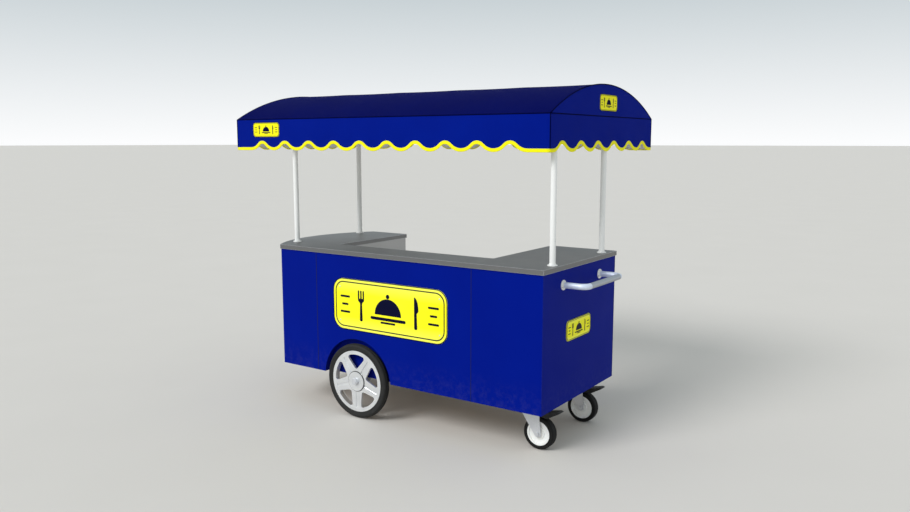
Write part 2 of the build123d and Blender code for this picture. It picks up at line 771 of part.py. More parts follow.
def make_caster_plates():
    plates, bolts = [], []
    for y in caster_ys:
        plate = Pos(caster_x, y, plate_bottom + caster_plate_thickness / 2) * Box(
            caster_plate_length, caster_plate_width, caster_plate_thickness)
        plate = fillet(plate.edges().filter_by(Axis.Z), 10)
        plate += rod("Z", boss_bottom, plate_bottom, swivel_boss_radius, (caster_x, y))
        nut_top = crown_bottom - snug
        plate += rod("Z", nut_top - king_nut_height, boss_bottom, king_pin_diameter / 2, (caster_x, y))
        plate += Pos(caster_x, y, nut_top - king_nut_height) * extrude(
            RegularPolygon(11, 6, major_radius=False), king_nut_height)
        plates.append(plate)
    radius = caster_bolt_diameter / 2
    drilled = []
    for plate in plates:
        for x, y in caster_bolt_places():
            plate -= rod("Z", plate_bottom - 1, body_bottom + 1, radius + 0.25, (x, y))
        drilled.append(plate)
    for x, y in caster_bolt_places():
        head = Pos(x, y, plate_bottom - 6.4) * extrude(RegularPolygon(8.5, 6, major_radius=False), 6.4)
        inside = body_bottom + tube_wall
        shank = rod("Z", plate_bottom - 1, inside + 14, radius, (x, y))
        nut = Pos(x, y, inside) * extrude(RegularPolygon(8.5, 6, major_radius=False), 8.0)
        bolts.append(head + shank + nut)
    nodes["caster_top_plates"] = group(drilled)
    nodes["caster_bolts"] = group(bolts)


def brake_pivot():
    """Pivot of the brake pedal in the caster's own XZ plane, swivel axis at X = 0."""
    return (brake_pivot_x, caster_radius + brake_pivot_above_axle)


def fork_solid():
    """Crown, race and two tapered legs; swivel axis at X = 0, Y = 0."""
    axle = (caster_trail, caster_radius)
    crown = block(-fork_front, fork_back, -fork_outer, fork_outer, crown_bottom, crown_top)
    crown = fillet(crown.edges().filter_by(Axis.Z), 12)
    race = rod("Z", crown_top, boss_bottom - snug, swivel_boss_radius - 2, (0, 0))
    fork = crown + race
    leg_top = Pos((fork_back - fork_front) / 2, crown_bottom - 10) * Rectangle(
        fork_front + fork_back, 20)
    outline = make_hull((leg_top + Pos(*axle) * Circle(fork_boss_radius)).edges())
    for y in (-fork_outer, fork_inner):
        leg = extrude(Plane.XZ * outline, fork_plate)
        fork += Pos(0, y + fork_plate, 0) * leg
    fork -= rod("Z", crown_bottom - 1, boss_bottom + 1, king_pin_diameter / 2 + running, (0, 0))
    fork -= rod("Y", -60, 60, caster_axle_diameter / 2 + running, axle)
    fork -= rod("Y", -60, 60, brake_pin_diameter / 2 + running, brake_pivot())
    return fork


def caster_axle_solid():
    """Axle bolt with its head on one side and its nut on the other."""
    axle = (caster_trail, caster_radius)
    bolt = rod("Y", -fork_outer - 8, fork_outer + 12, caster_axle_diameter / 2, axle)
    bolt += hexagon_bar(19, -fork_outer - 8, -fork_outer - snug, axle)
    bolt += hexagon_bar(19, fork_outer + snug, fork_outer + 10, axle)
    return bolt


def caster_hub_solid():
    """Cast wheel centre with a raised ring round the axle on both faces."""
    outer = caster_radius - caster_tyre_height
    half = caster_tyre_width / 2
    ring = outer - 10
    inner_ring = 30.0
    nave = fork_inner - 0.4
    hub = ring_profile([
        (caster_axle_diameter / 2 + running, -nave), (16, -nave), (18, -half + 8),
        (inner_ring - 4, -half + 8), (inner_ring - 2, -half + 4), (inner_ring + 2, -half + 4),
        (inner_ring + 4, -half + 10), (ring - 2, -half + 8), (ring, -half + 2),
        (outer - snug, -half + 2), (outer - snug, half - 2), (ring, half - 2), (ring - 2, half - 8),
        (inner_ring + 4, half - 10), (inner_ring + 2, half - 4), (inner_ring - 2, half - 4),
        (inner_ring - 4, half - 8), (18, half - 8), (16, nave),
        (caster_axle_diameter / 2 + running, nave),
    ])
    return Pos(caster_trail, 0, caster_radius) * Rot(90, 0, 0) * hub


def caster_tyre_solid():
    radius, half = caster_radius, caster_tyre_width / 2
    inner = radius - caster_tyre_height
    tyre = Cylinder(radius, caster_tyre_width) - Cylinder(inner, caster_tyre_width + 2)
    rounded = tyre.edges().filter_by(GeomType.CIRCLE).group_by(SortBy.RADIUS)[-1]
    return Pos(caster_trail, 0, radius) * Rot(90, 0, 0) * fillet(rounded, 9)


def brake_solid():
    """Pedal, shoe and pivot pin, drawn pressed down and then turned back up."""
    px, pz = brake_pivot()
    axle = (caster_trail, caster_radius)
    half = fork_inner - 1.0
    shoe_radius = caster_radius + 1.0
    pin = rod("Y", -fork_outer - 2, fork_outer + 2, brake_pin_diameter / 2, (px, pz))
    barrel = rod("Y", -half, half, brake_pin_diameter / 2 + 5, (px, pz))
    tip_x, tip_z = px + brake_reach, pz - 6.0
    knee_x = fork_back + 14
    side = make_face(Polyline(
        (px - 6, pz + 6), (knee_x, pz + 6), (tip_x, tip_z + pedal_thickness),
        (tip_x + 2, tip_z), (knee_x + 34, tip_z - 22), (knee_x + 8, pz - 34),
        (px + 20, pz - 12), (px - 6, pz - 6), close=True))
    wedge = Pos(0, half, 0) * extrude(Plane.XZ * side, 2 * half)
    wedge -= rod("Y", -60, 60, shoe_radius, axle)
    pad_plate = block(knee_x + 2, tip_x, -pedal_width / 2, pedal_width / 2, tip_z, tip_z + 8)
    pad_plate = fillet(pad_plate.edges().filter_by(Axis.Z).sort_by(Axis.X)[-2:], 14)
    body = wedge + pad_plate + barrel + pin
    lift = Pos(px, 0, pz) * Rot(0, -brake_travel, 0) * Pos(-px, 0, -pz)
    return lift * body


def make_casters():
    fork, axle, hub = fork_solid(), caster_axle_solid(), caster_hub_solid()
    tyre, brake = caster_tyre_solid(), brake_solid()
    for name, y in zip(("front", "rear"), caster_ys):
        place = Pos(caster_x, y, 0)
        nodes[f"{name}_caster_fork"] = place * fork
        nodes[f"{name}_caster_axle"] = place * axle
        nodes[f"{name}_caster_hub"] = place * hub
        nodes[f"{name}_caster_tyre"] = place * tyre
        nodes[f"{name}_caster_brake"] = place * brake


# ------------------------------------------------------------------ posts, flanges, handle
def flange_solid(tube_diameter):
    """Round foot with a collar, standing on Z = 0 with a tube in it."""
    bore = tube_diameter / 2 + snug / 2
    foot = Pos(0, 0, flange_thickness / 2) * Cylinder(flange_radius, flange_thickness)
    foot += Pos(0, 0, collar_height / 2) * Cylinder(bore + collar_wall, collar_height)
    foot -= Cylinder(bore, 3 * collar_height)
    for i in range(3):
        hole = Pos(screw_circle_radius, 0, 0) * Cylinder(screw_diameter / 2 + running, 4 * flange_thickness)
        foot -= Rot(0, 0, 60 + 120 * i) * hole
    return foot


def flange_screws():
    head = Pos(0, 0, flange_thickness + screw_head_height / 2) * Cylinder(
        screw_head_radius, screw_head_height)
    shank = Pos(0, 0, flange_thickness - screw_length / 2) * Cylinder(screw_diameter / 2, screw_length)
    screw = Pos(screw_circle_radius, 0, 0) * (head + shank)
    return [Rot(0, 0, 60 + 120 * i) * screw for i in range(3)]


def flange_places():
    posts = [Pos(x, y, worktop_height) for x in (post_x0, post_x1) for y in (post_y0, post_y1)]
    grips = [Pos(body_length, y, handle_height) * Rot(0, 90, 0) for y in (handle_y0, handle_y1)]
    return posts, grips


def make_flanges():
    posts, grips = flange_places()
    feet = [p * flange_solid(post_diameter) for p in posts]
    feet += [p * flange_solid(handle_diameter) for p in grips]
    screws = [p * screw for p in posts + grips for screw in flange_screws()]
    nodes["tube_flanges"] = group(feet)
    nodes["flange_screws"] = group(screws)
    holes = [p * Pos(screw_circle_radius * cos(radians(60 + 120 * i)),
                     screw_circle_radius * sin(radians(60 + 120 * i)), 0)
             * Cylinder(screw_diameter / 2 + running, 3 * screw_length)
             for p in posts + grips for i in range(3)]
    for name in ("worktop_sheet", "worktop_board", "right_end_panel"):
        nodes[name] = nodes[name] - holes


def make_posts():
    posts = []
    for x in (post_x0, post_x1):
        for y in (post_y0, post_y1):
            outer = rod("Z", worktop_height, rail_bottom, post_diameter / 2, (x, y))
            inner = rod("Z", worktop_height - 1, rail_bottom + 1, post_diameter / 2 - post_wall, (x, y))
            posts.append(outer - inner)
    nodes["canopy_posts"] = group(posts)


def make_handle():
    """Two bent arms and a straight grip between them."""
    r = handle_diameter / 2
    arms = []
    for y, inward in ((handle_y0, 1), (handle_y1, -1)):
        elbow_x = handle_x - handle_bend
        start = (body_length, y, handle_height)
        bend_start = (elbow_x, y, handle_height)
        k = handle_bend * (1 - cos(pi / 4))
        s = handle_bend * sin(pi / 4)
        bend_mid = (elbow_x + s, y + inward * k, handle_height)
        bend_end = (handle_x, y + inward * handle_bend, handle_height)
        path = Line(start, bend_start) + ThreePointArc(bend_start, bend_mid, bend_end)
        section = Plane(origin=start, z_dir=(1, 0, 0)) * (Circle(r) - Circle(r - grip_wall))
        arms.append(sweep(section, path))
    nodes["handle_arms"] = group(arms)
    y0, y1 = handle_y0 + handle_bend, handle_y1 - handle_bend
    grip = rod("Y", y0, y1, r, (handle_x, handle_height))
    grip -= rod("Y", y0 - 1, y1 + 1, r - grip_wall, (handle_x, handle_height))
    nodes["handle_grip"] = grip


# ------------------------------------------------------------------ canopy
def scalloped_edge(start, end, count, pitch, lift):
    """Lower edge of a valance in its own plane, raised by lift: flat ends, then
    round lobes hanging between narrow round notches."""
    flat = (end - start - count * pitch) / 2
    lean = 2 * atan(2 * scallop_rise / pitch)
    reach = pitch / 2 / sin(lean)
    lobe = reach - notch_radius - lift
    z0 = valance_bottom + lift
    peak = z0 + scallop_rise
    edge = Line((start, z0), (start + flat, z0))
    bend = lobe * sin(lean)
    join_z = z0 + lobe * (1 - cos(lean))
    half_x, half_z = lobe * sin(lean / 2), lobe * (1 - cos(lean / 2))
    for i in range(count):
        low = start + flat + i * pitch
        high = low + pitch
        edge += ThreePointArc((low, z0), (low + half_x, z0 + half_z), (low + bend, join_z))
        edge += ThreePointArc((low + bend, join_z), (low + pitch / 2, peak), (high - bend, join_z))
        edge += ThreePointArc((high - bend, join_z), (high - half_x, z0 + half_z), (high, z0))
    return edge + Line((end - flat, z0), (end, z0))


def valance_face(start, end, count, pitch, top):
    """Cloth between the binding and a straight upper edge."""
    lower = scalloped_edge(start, end, count, pitch, binding_width)
    z0 = valance_bottom + binding_width
    return make_face(lower + Polyline((end, z0), (end, top), (start, top), (start, z0)))


def binding_face(start, end, count, pitch):
    lower = scalloped_edge(start, end, count, pitch, 0)
    upper = scalloped_edge(start, end, count, pitch, binding_width)
    z0, z1 = valance_bottom, valance_bottom + binding_width
    return make_face(lower + Line((end, z0), (end, z1)) + upper + Line((start, z1), (start, z0)))


def stand(face, along, at, thickness):
    """Stand a face drawn as (along, height) up in the cart, its outer side at at."""
    if along == "X":
        return Pos(0, at + thickness, 0) * extrude(Plane.XZ * face, thickness)
    return Pos(at, 0, 0) * extrude(Plane.YZ * face, thickness)


def make_canopy_cloth():
    outer = Pos(canopy_mid_y, roof_center_z) * Circle(roof_radius)
    inner = Pos(canopy_mid_y, roof_center_z) * Circle(roof_radius - cloth)
    above = Pos(canopy_mid_y, eave_height + canopy_rise) * Rectangle(2 * half_chord, 2 * canopy_rise)
    vault = extrude(Plane.YZ * ((outer - inner) & above), canopy_x1 - canopy_x0)
    nodes["canopy_roof_cloth"] = Pos(canopy_x0, 0, 0) * vault
    top_room = Pos(canopy_mid_y, roof_center_z) * Circle(roof_radius - cloth - snug)
    gable = top_room & above
    lower = valance_face(canopy_y0, canopy_y1, end_scallops, end_scallop_pitch, eave_height)
    profile = gable + lower
    nodes["canopy_end_cloths"] = group(
        stand(profile, "Y", x, cloth) for x in (canopy_x0, canopy_x1 - cloth))
    front = valance_face(canopy_x0, canopy_x1, front_scallops, front_scallop_pitch,
                         eave_height - snug)
    trim = block(canopy_x0 + cloth, canopy_x1 - cloth, canopy_y0 - 1, canopy_y1 + 1,
                 valance_bottom - 1, eave_height)
    nodes["canopy_valances"] = group(
        stand(front, "X", y, cloth) & trim for y in (canopy_y0, canopy_y1 - cloth))


def make_binding():
    proud = (binding_thickness - cloth) / 2
    long_edge = binding_face(canopy_x0 - proud, canopy_x1 + proud, front_scallops, front_scallop_pitch)
    side_y0, side_y1 = canopy_y0 + cloth + proud, canopy_y1 - cloth - proud
    side_edge = binding_face(side_y0, side_y1, end_scallops, end_scallop_pitch)
    strips = [stand(long_edge, "X", y - proud, binding_thickness)
              for y in (canopy_y0, canopy_y1 - cloth)]
    strips += [stand(side_edge, "Y", x - proud, binding_thickness)
               for x in (canopy_x0, canopy_x1 - cloth)]
    nodes["valance_binding"] = group(strips)


def bow_places():
    """Left edge of each cross rail; two of them stand on the posts."""
    first = rail_x0
    over_post = post_x0 - frame_tube / 2
    last = rail_x1 - frame_tube
    step = (last - over_post) / (middle_bows + 1)
    return [first, over_post] + [over_post + step * (i + 1) for i in range(middle_bows)] + [last]


def make_canopy_frame():
    t = frame_tube
    z0, z1 = rail_bottom, rail_top
    nodes["canopy_eave_rails"] = group(
        square_tube(rail_x0, rail_x1, y, y + t, z0, z1, "X") for y in (rail_y0, rail_y1 - t))
    places = bow_places()
    nodes["canopy_cross_rails"] = group(
        square_tube(x, x + t, rail_y0 + t, rail_y1 - t, z0, z1, "Y") for x in places)
    spigot_radius = post_diameter / 2 - post_wall - running
    nodes["post_spigots"] = group(
        rod("Z", z0 - spigot_length, z0, spigot_radius, (x, y)) - rod(
            "Z", z0 - spigot_length - 1, z0 + 1, spigot_radius - post_wall, (x, y))
        for x in (post_x0, post_x1) for y in (post_y0, post_y1))

    outer = roof_radius - cloth - soft
    ring = Circle(outer) - Circle(outer - bow_tube)
    ring = Pos(canopy_mid_y, roof_center_z) * ring
    room = Pos(canopy_mid_y, rail_top + canopy_rise) * Rectangle(rail_y1 - rail_y0, 2 * canopy_rise)
    bow = extrude(Plane.YZ * (ring & room), bow_tube)
    starts = [rail_x0] + [x + (t - bow_tube) / 2 for x in places[1:-1]] + [rail_x1 - bow_tube]
    nodes["canopy_bows"] = group(Pos(x, 0, 0) * bow for x in starts)

    purlins = []
    reach = outer - bow_tube - snug - bow_tube / 2
    for turn in (-purlin_angle, 0, purlin_angle):
        bar = Box(rail_x1 - rail_x0, bow_tube, bow_tube) - Box(
            rail_x1 - rail_x0 + 2, bow_tube - 2 * tube_wall, bow_tube - 2 * tube_wall)
        bar = Pos(0, 0, reach) * bar
        place = Pos((rail_x0 + rail_x1) / 2, canopy_mid_y, roof_center_z) * Rot(turn, 0, 0)
        purlins.append(place * bar)
    nodes["canopy_purlins"] = group(purlins)


# ------------------------------------------------------------------ signs
def sign_face(size, center):
    """A plate with fully rounded ends."""
    return Pos(*center) * RectangleRounded(size[0], size[1], 0.24 * size[1])


def make_signs():
    front_sign_center = ((front_panel_x0 + front_panel_x1) / 2 - front_sign_left_shift,
                         worktop_height - front_sign_below_top)
    end_sign_center = (body_depth / 2 - end_sign_front_shift, worktop_height - end_sign_below_top)
    canopy_sign_front = (canopy_x0 + canopy_sign_from_corner, eave_height - canopy_sign_below_eave)
    canopy_sign_end = (canopy_mid_y + canopy_sign_rear_shift, eave_height + canopy_sign_above_eave)
    nodes["front_sign"] = stand(sign_face(front_sign_size, front_sign_center), "X",
                                -sign_plate, sign_plate)
    nodes["end_sign"] = stand(sign_face(end_sign_size, end_sign_center), "Y",
                              body_length, sign_plate)
    patch = cloth / 2
    nodes["canopy_badges"] = group([
        stand(sign_face(canopy_sign_size, canopy_sign_front), "X", canopy_y0 - patch, patch),
        stand(sign_face(canopy_sign_size, canopy_sign_end), "Y", canopy_x1, patch),
    ])


# ------------------------------------------------------------------ build and write
make_chassis()
make_uprights()
make_top_rails()
make_deck()
make_front_panel()
make_left_end_panel()
make_right_end_panel()
make_rear_low_panel()
make_wheel_wells()
make_bay_walls()
make_worktop()
make_rear_frames()
make_hinges_and_doors()
make_shelves()
make_big_wheels()
make_axle()
make_caster_plates()
make_casters()
make_flanges()
make_posts()
make_handle()
make_canopy_cloth()
make_binding()
make_canopy_frame()
make_signs()

os.makedirs("parts", exist_ok=True)
to_origin = Pos(-origin_x, -origin_y, 0)
for name, shape in nodes.items():
    export_step(to_origin * shape, f"parts/{name}.step")
print(len(nodes), "nodes written")
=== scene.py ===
# %% [markdown]
# # A push vending cart, finished in Blender
# The cart's structure is already modelled to size: panels, frame, wheels, doors. This lesson
# dresses it: paint, brushed steel, rubber, canvas, and the parts that a workshop sews or
# sticks on by hand. Every new piece takes its place from the finished structure, so nothing
# has to be nudged into position later.

# %% Load the cart's structure
from math import atan, cos, pi, radians, sin, sqrt

import bmesh
import bpy
from mathutils import Euler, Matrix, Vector


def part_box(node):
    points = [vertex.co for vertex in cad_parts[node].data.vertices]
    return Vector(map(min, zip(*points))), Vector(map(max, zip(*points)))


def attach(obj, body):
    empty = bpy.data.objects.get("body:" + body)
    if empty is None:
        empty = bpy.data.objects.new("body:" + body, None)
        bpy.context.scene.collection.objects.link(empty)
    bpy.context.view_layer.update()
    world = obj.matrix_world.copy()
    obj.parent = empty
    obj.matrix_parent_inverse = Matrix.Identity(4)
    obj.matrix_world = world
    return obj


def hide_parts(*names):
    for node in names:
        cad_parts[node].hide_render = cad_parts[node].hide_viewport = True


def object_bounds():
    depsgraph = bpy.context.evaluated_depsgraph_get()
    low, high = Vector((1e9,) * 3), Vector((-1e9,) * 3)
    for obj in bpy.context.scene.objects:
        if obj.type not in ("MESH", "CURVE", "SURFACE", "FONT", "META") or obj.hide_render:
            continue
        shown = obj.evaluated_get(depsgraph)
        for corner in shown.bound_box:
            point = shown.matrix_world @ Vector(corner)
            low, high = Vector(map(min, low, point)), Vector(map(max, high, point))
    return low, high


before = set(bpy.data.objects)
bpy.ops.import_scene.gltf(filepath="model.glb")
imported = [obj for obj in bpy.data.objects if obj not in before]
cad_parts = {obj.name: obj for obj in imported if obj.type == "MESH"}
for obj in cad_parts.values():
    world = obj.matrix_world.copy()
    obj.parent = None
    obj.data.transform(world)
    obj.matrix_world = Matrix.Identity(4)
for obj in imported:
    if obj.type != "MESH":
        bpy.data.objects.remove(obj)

structure_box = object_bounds()
cart_low, cart_high = (Vector(corner) for corner in structure_box)
mm = 0.001
print("size in metres:", [round(side, 3) for side in cart_high - cart_low])

# %% [markdown]
# ## Where we look from
# A camera can be aimed with a constraint or turned by its own angles. Angles are enough for
# a still view: a standing person, some five metres off, sees the front and the handle's end
# at once. The lens is a little wider than a normal one, as for a cart seen across a shop.

# %% Set up the camera
camera_height = 1.629
camera_side = 2.951
camera_back = 4.230
camera_turn = 34.32
camera_drop = 7.98
camera_lens = 32.12

camera_data = bpy.data.cameras.new("lesson_camera")
camera_data.sensor_width = 36.0
camera_data.lens = camera_lens
camera = bpy.data.objects.new("lesson_camera", camera_data)
camera.location = (camera_side, -camera_back, camera_height)
camera.rotation_euler = Euler((radians(90 - camera_drop), 0, radians(camera_turn)))
bpy.context.scene.collection.objects.link(camera)
bpy.context.scene.camera = camera
print("camera stands", round(camera.location.length, 2), "m from the cart's middle")

# %% [markdown]
# ## Finishes come first
# A finish is a small network of nodes. Each one below starts from a Principled shader; noise
# in the object's own coordinates then breaks up its colour, its gloss and its surface. Plain
# numbers go straight onto the shader's own sockets, because only what varies over the surface
# needs a node.


# %% A workbench for nodes
def srgb(red, green, blue):
    """Screen colour from 0 to 255, as the linear colour that Blender wants."""
    return tuple((c / 255 / 12.92 if c < 11 else ((c / 255 + 0.055) / 1.055) ** 2.4)
                 for c in (red, green, blue)) + (1.0,)


class Workbench:
    """A material whose nodes are added and joined in short calls."""

    def __init__(self, name, roughness=0.5, metallic=0.0, mirror=0.5):
        self.material = bpy.data.materials.new(name)
        self.material.use_nodes = True
        self.nodes = self.material.node_tree.nodes
        self.links = self.material.node_tree.links
        self.shader = self.nodes["Principled BSDF"]
        self.shader.inputs["Roughness"].default_value = roughness
        self.shader.inputs["Metallic"].default_value = metallic
        self.shader.inputs["Specular IOR Level"].default_value = mirror
        self.place = self.nodes.new("ShaderNodeTexCoord").outputs["Object"]

    def stretch(self, scale, source=None):
        mapping = self.nodes.new("ShaderNodeMapping")
        mapping.inputs["Scale"].default_value = scale
        self.links.new(source or self.place, mapping.inputs["Vector"])
        return mapping.outputs["Vector"]

    def noise(self, scale, detail=3.0, source=None, rough=0.5):
        noise = self.nodes.new("ShaderNodeTexNoise")
        noise.inputs["Scale"].default_value = scale
        noise.inputs["Detail"].default_value = detail
        noise.inputs["Roughness"].default_value = rough
        self.links.new(source or self.place, noise.inputs["Vector"])
        return noise.outputs["Fac"]

    def ramp(self, value, *stops):
        """Colours or greys along a value: stops are (place, colour)."""
        ramp = self.nodes.new("ShaderNodeValToRGB")
        while len(ramp.color_ramp.elements) < len(stops):
            ramp.color_ramp.elements.new(0.5)
        for element, (place, colour) in zip(ramp.color_ramp.elements, stops):
            element.position = place
            element.color = colour if hasattr(colour, "__len__") else (colour,) * 3 + (1,)
        self.links.new(value, ramp.inputs["Fac"])
        return ramp.outputs["Color"]

    def feed(self, sockets, values):
        """Each value is either another node's socket, to be linked, or a plain one, to be set."""
        for socket, value in zip(sockets, values):
            if isinstance(value, bpy.types.NodeSocket):
                self.links.new(value, socket)
            else:
                socket.default_value = value

    def mix(self, share, first, second):
        """Blend two colours."""
        mix = self.nodes.new("ShaderNodeMix")
        mix.data_type = "RGBA"
        self.feed((mix.inputs[0], mix.inputs[6], mix.inputs[7]), (share, first, second))
        return mix.outputs[2]

    def maths(self, operation, first, second=0.0):
        node = self.nodes.new("ShaderNodeMath")
        node.operation = operation
        self.feed(node.inputs, (first, second))
        return node.outputs[0]


print("nodes can be added and joined")

# %% [markdown]
# The other half of the helper knows what a surface needs: ragged patches for dirt, a gloss
# that wanders, relief of a given depth, and a mask that is bright along worn edges.


# %% A helper that knows surfaces
class Finish(Workbench):
    """A workbench with the ways to reach the shader that most finishes share."""

    def patches(self, scale, detail, rough, start, full, most):
        """Ragged patches: nothing below one level of the noise, the most above another."""
        return self.ramp(self.noise(scale, detail, rough=rough), (start, 0.0), (full, most))

    def colour(self, value):
        self.links.new(value, self.shader.inputs["Base Color"])

    def gloss(self, value, low, high):
        """Roughness that wanders between two values."""
        span = self.nodes.new("ShaderNodeMapRange")
        span.inputs["To Min"].default_value = low
        span.inputs["To Max"].default_value = high
        self.links.new(value, span.inputs["Value"])
        self.links.new(span.outputs["Result"], self.shader.inputs["Roughness"])

    def relief(self, height, depth, strength=1.0):
        """Bump of a given depth, in metres."""
        bump = self.nodes.new("ShaderNodeBump")
        bump.inputs["Strength"].default_value = strength
        bump.inputs["Distance"].default_value = depth
        self.links.new(height, bump.inputs["Height"])
        self.links.new(bump.outputs["Normal"], self.shader.inputs["Normal"])

    def edge_mask(self, width):
        """Bright near convex edges: a rounded normal differs from the true one there."""
        bevel = self.nodes.new("ShaderNodeBevel")
        bevel.samples = 4
        bevel.inputs["Radius"].default_value = width
        true_normal = self.nodes.new("ShaderNodeNewGeometry").outputs["Normal"]
        dot = self.nodes.new("ShaderNodeVectorMath")
        dot.operation = "DOT_PRODUCT"
        self.links.new(bevel.outputs["Normal"], dot.inputs[0])
        self.links.new(true_normal, dot.inputs[1])
        return self.maths("SUBTRACT", 1.0, dot.outputs["Value"])


print("finish helper ready")

# %% [markdown]
# ## Navy paint
# Sheet-metal panels are sprayed and baked. The colour is even, but the film has a faint
# orange-peel skin, the gloss changes a little where hands and cloths have rubbed it, and
# road dust settles low down. Dust is a height gradient multiplied by noise; chipped edges use
# the difference between a rounded and a true normal, which needs no painting by hand.


# %% Mix the navy paint
dusty_below = 0.20
clean_above = 0.42
dust_share = 0.07
worn_edge = 0.0016


def painted(name, deep, bright, chip, roughness, mirror=0.3):
    finish = Finish(name, roughness=roughness, mirror=mirror)
    clouds = finish.noise(3.0, 4.0)
    colour = finish.mix(clouds, deep, bright)
    height = finish.nodes.new("ShaderNodeSeparateXYZ")
    finish.links.new(finish.place, height.inputs[0])
    low_down = finish.ramp(height.outputs["Z"], (dusty_below, 1.0), (clean_above, 0.0))
    specks = finish.patches(38.0, 6.0, 0.7, 0.45, 0.75, 1.0)
    dust = finish.maths("MULTIPLY", finish.maths("MULTIPLY", low_down, specks), dust_share)
    colour = finish.mix(dust, colour, srgb(150, 143, 130))
    worn = finish.maths("MULTIPLY", finish.edge_mask(worn_edge), finish.noise(55.0, 5.0))
    worn = finish.ramp(worn, (0.03, 0.0), (0.16, 0.55))
    finish.colour(finish.mix(worn, colour, chip))
    finish.gloss(finish.noise(7.0, 5.0), roughness - 0.06, roughness + 0.10)
    finish.relief(finish.noise(420.0, 2.0), 0.00006, 0.5)
    return finish.material


navy_paint = painted("navy_paint", srgb(0, 19, 124), srgb(0, 25, 136), srgb(48, 66, 168), 0.42,
                     mirror=0.025)
frame_paint = painted("frame_grey_paint", srgb(150, 152, 155), srgb(172, 174, 176),
                      srgb(205, 206, 208), 0.5)
white_coat = painted("white_powder_coat", srgb(232, 232, 229), srgb(244, 244, 242),
                     srgb(215, 215, 212), 0.38)
pedal_black = painted("black_powder_coat", srgb(14, 14, 15), srgb(24, 24, 26),
                      srgb(105, 104, 102), 0.5)
print("paints:", navy_paint.name, frame_paint.name, white_coat.name, pedal_black.name)

# %% [markdown]
# ## Bare metals
# Brushed steel is smooth along the brushing and rough across it. Noise stretched a hundred
# times in one direction gives both the streaks in the gloss and the fine scratches. Zinc
# plating has a cloudy crystal look instead, so it gets round noise at two sizes. The worktop's
# edges get a painted highlight, a pale steel colour found by the same difference of normals as on the
# paint.


# %% Mix the metals
streak_stretch = 110
# width of the painted highlight along the worktop's edges
painted_highlight_width = 0.0035


def brushed(name, light, dark, along, roughness, grain=700.0, edge=0.0):
    finish = Finish(name, roughness=roughness, metallic=1.0)
    finish.shader.inputs["Anisotropic"].default_value = 0.35
    scale = [grain, grain, grain]
    scale["XYZ".index(along)] = grain / streak_stretch
    streaks = finish.noise(1.0, 5.0, finish.stretch(scale), 0.65)
    smears = finish.noise(5.0, 5.0, rough=0.6)
    tone = finish.mix(streaks, dark, light)
    tone = finish.mix(finish.maths("MULTIPLY", smears, 0.35), tone, dark)
    if edge:
        # painted highlight: a pale steel colour mixed in along convex edges, where light would catch them
        painted_edge_highlight = finish.ramp(finish.edge_mask(edge), (0.01, 0.0), (0.12, 0.8))
        tone = finish.mix(painted_edge_highlight, tone, srgb(214, 218, 224))
    finish.colour(tone)
    finish.gloss(finish.maths("ADD", finish.maths("MULTIPLY", streaks, 0.6),
                              finish.maths("MULTIPLY", smears, 0.4)),
                 roughness - 0.10, roughness + 0.14)
    finish.relief(streaks, 0.00008, 0.6)
    return finish.material


def plated(name, light, dark, roughness, metallic=1.0):
    finish = Finish(name, roughness=roughness, metallic=metallic)
    crystals = finish.noise(160.0, 3.0)
    clouds = finish.noise(28.0, 5.0)
    finish.colour(finish.mix(clouds, dark, finish.mix(crystals, dark, light)))
    finish.gloss(clouds, roughness - 0.08, roughness + 0.12)
    finish.relief(crystals, 0.00005, 0.4)
    return finish.material


worktop_steel = brushed("brushed_worktop_steel", srgb(146, 146, 146), srgb(120, 120, 121), "X", 0.46,
                        edge=painted_highlight_width)
# painted light: the bay walls are the worktop's stainless steel, mixed much lighter so the recess looks lit
wall_steel_painted_lighter = brushed("brushed_wall_steel_painted_lighter", srgb(196, 196, 196), srgb(160, 160, 161), "Z", 0.42)
grip_steel = brushed("satin_grip_tube", srgb(196, 201, 208), srgb(160, 166, 174), "Y", 0.34)
latch_chrome = plated("polished_latch_chrome", srgb(236, 242, 250), srgb(214, 222, 234), 0.2)
handle_silver = plated("satin_handle_silver", srgb(226, 234, 248), srgb(212, 221, 238), 0.42, 0.25)
zinc = plated("bright_zinc", srgb(234, 235, 237), srgb(206, 208, 212), 0.4, 0.55)
print("metals:", worktop_steel.name, grip_steel.name, handle_silver.name, zinc.name)

# %% [markdown]
# ## Cast wheels, rubber, moulded plastic and board
# The big wheels are die-cast and sprayed silver: a fine sandy grain under a thin coat. Rubber
# is never quite black, because dust fills its pores. The casters' wheel centres are moulded
# nylon with a slight mottling. The board under the worktop and the deck shows its long grain.


# %% Mix the rest of the hard finishes
def cast_silver():
    finish = Finish("sprayed_cast_silver", roughness=0.36, metallic=0.75)
    sand = finish.noise(900.0, 2.0)
    clouds = finish.noise(14.0, 5.0)
    base = finish.mix(clouds, srgb(222, 224, 226), srgb(244, 245, 246))
    grime = finish.patches(34.0, 6.0, 0.72, 0.60, 0.86, 0.45)
    finish.colour(finish.mix(grime, base, srgb(128, 124, 118)))
    finish.gloss(clouds, 0.30, 0.46)
    finish.relief(sand, 0.00008, 0.4)
    return finish.material


def rubber(name, dark, light, dusty):
    finish = Finish(name, roughness=0.78, mirror=0.25)
    pores = finish.noise(650.0, 4.0, rough=0.7)
    scuffs = finish.patches(22.0, 7.0, 0.75, 0.45, 0.80, 1.0)
    tone = finish.mix(pores, dark, light)
    finish.colour(finish.mix(finish.maths("MULTIPLY", scuffs, 0.35), tone, dusty))
    finish.gloss(scuffs, 0.66, 0.90)
    finish.relief(pores, 0.00015, 0.6)
    return finish.material


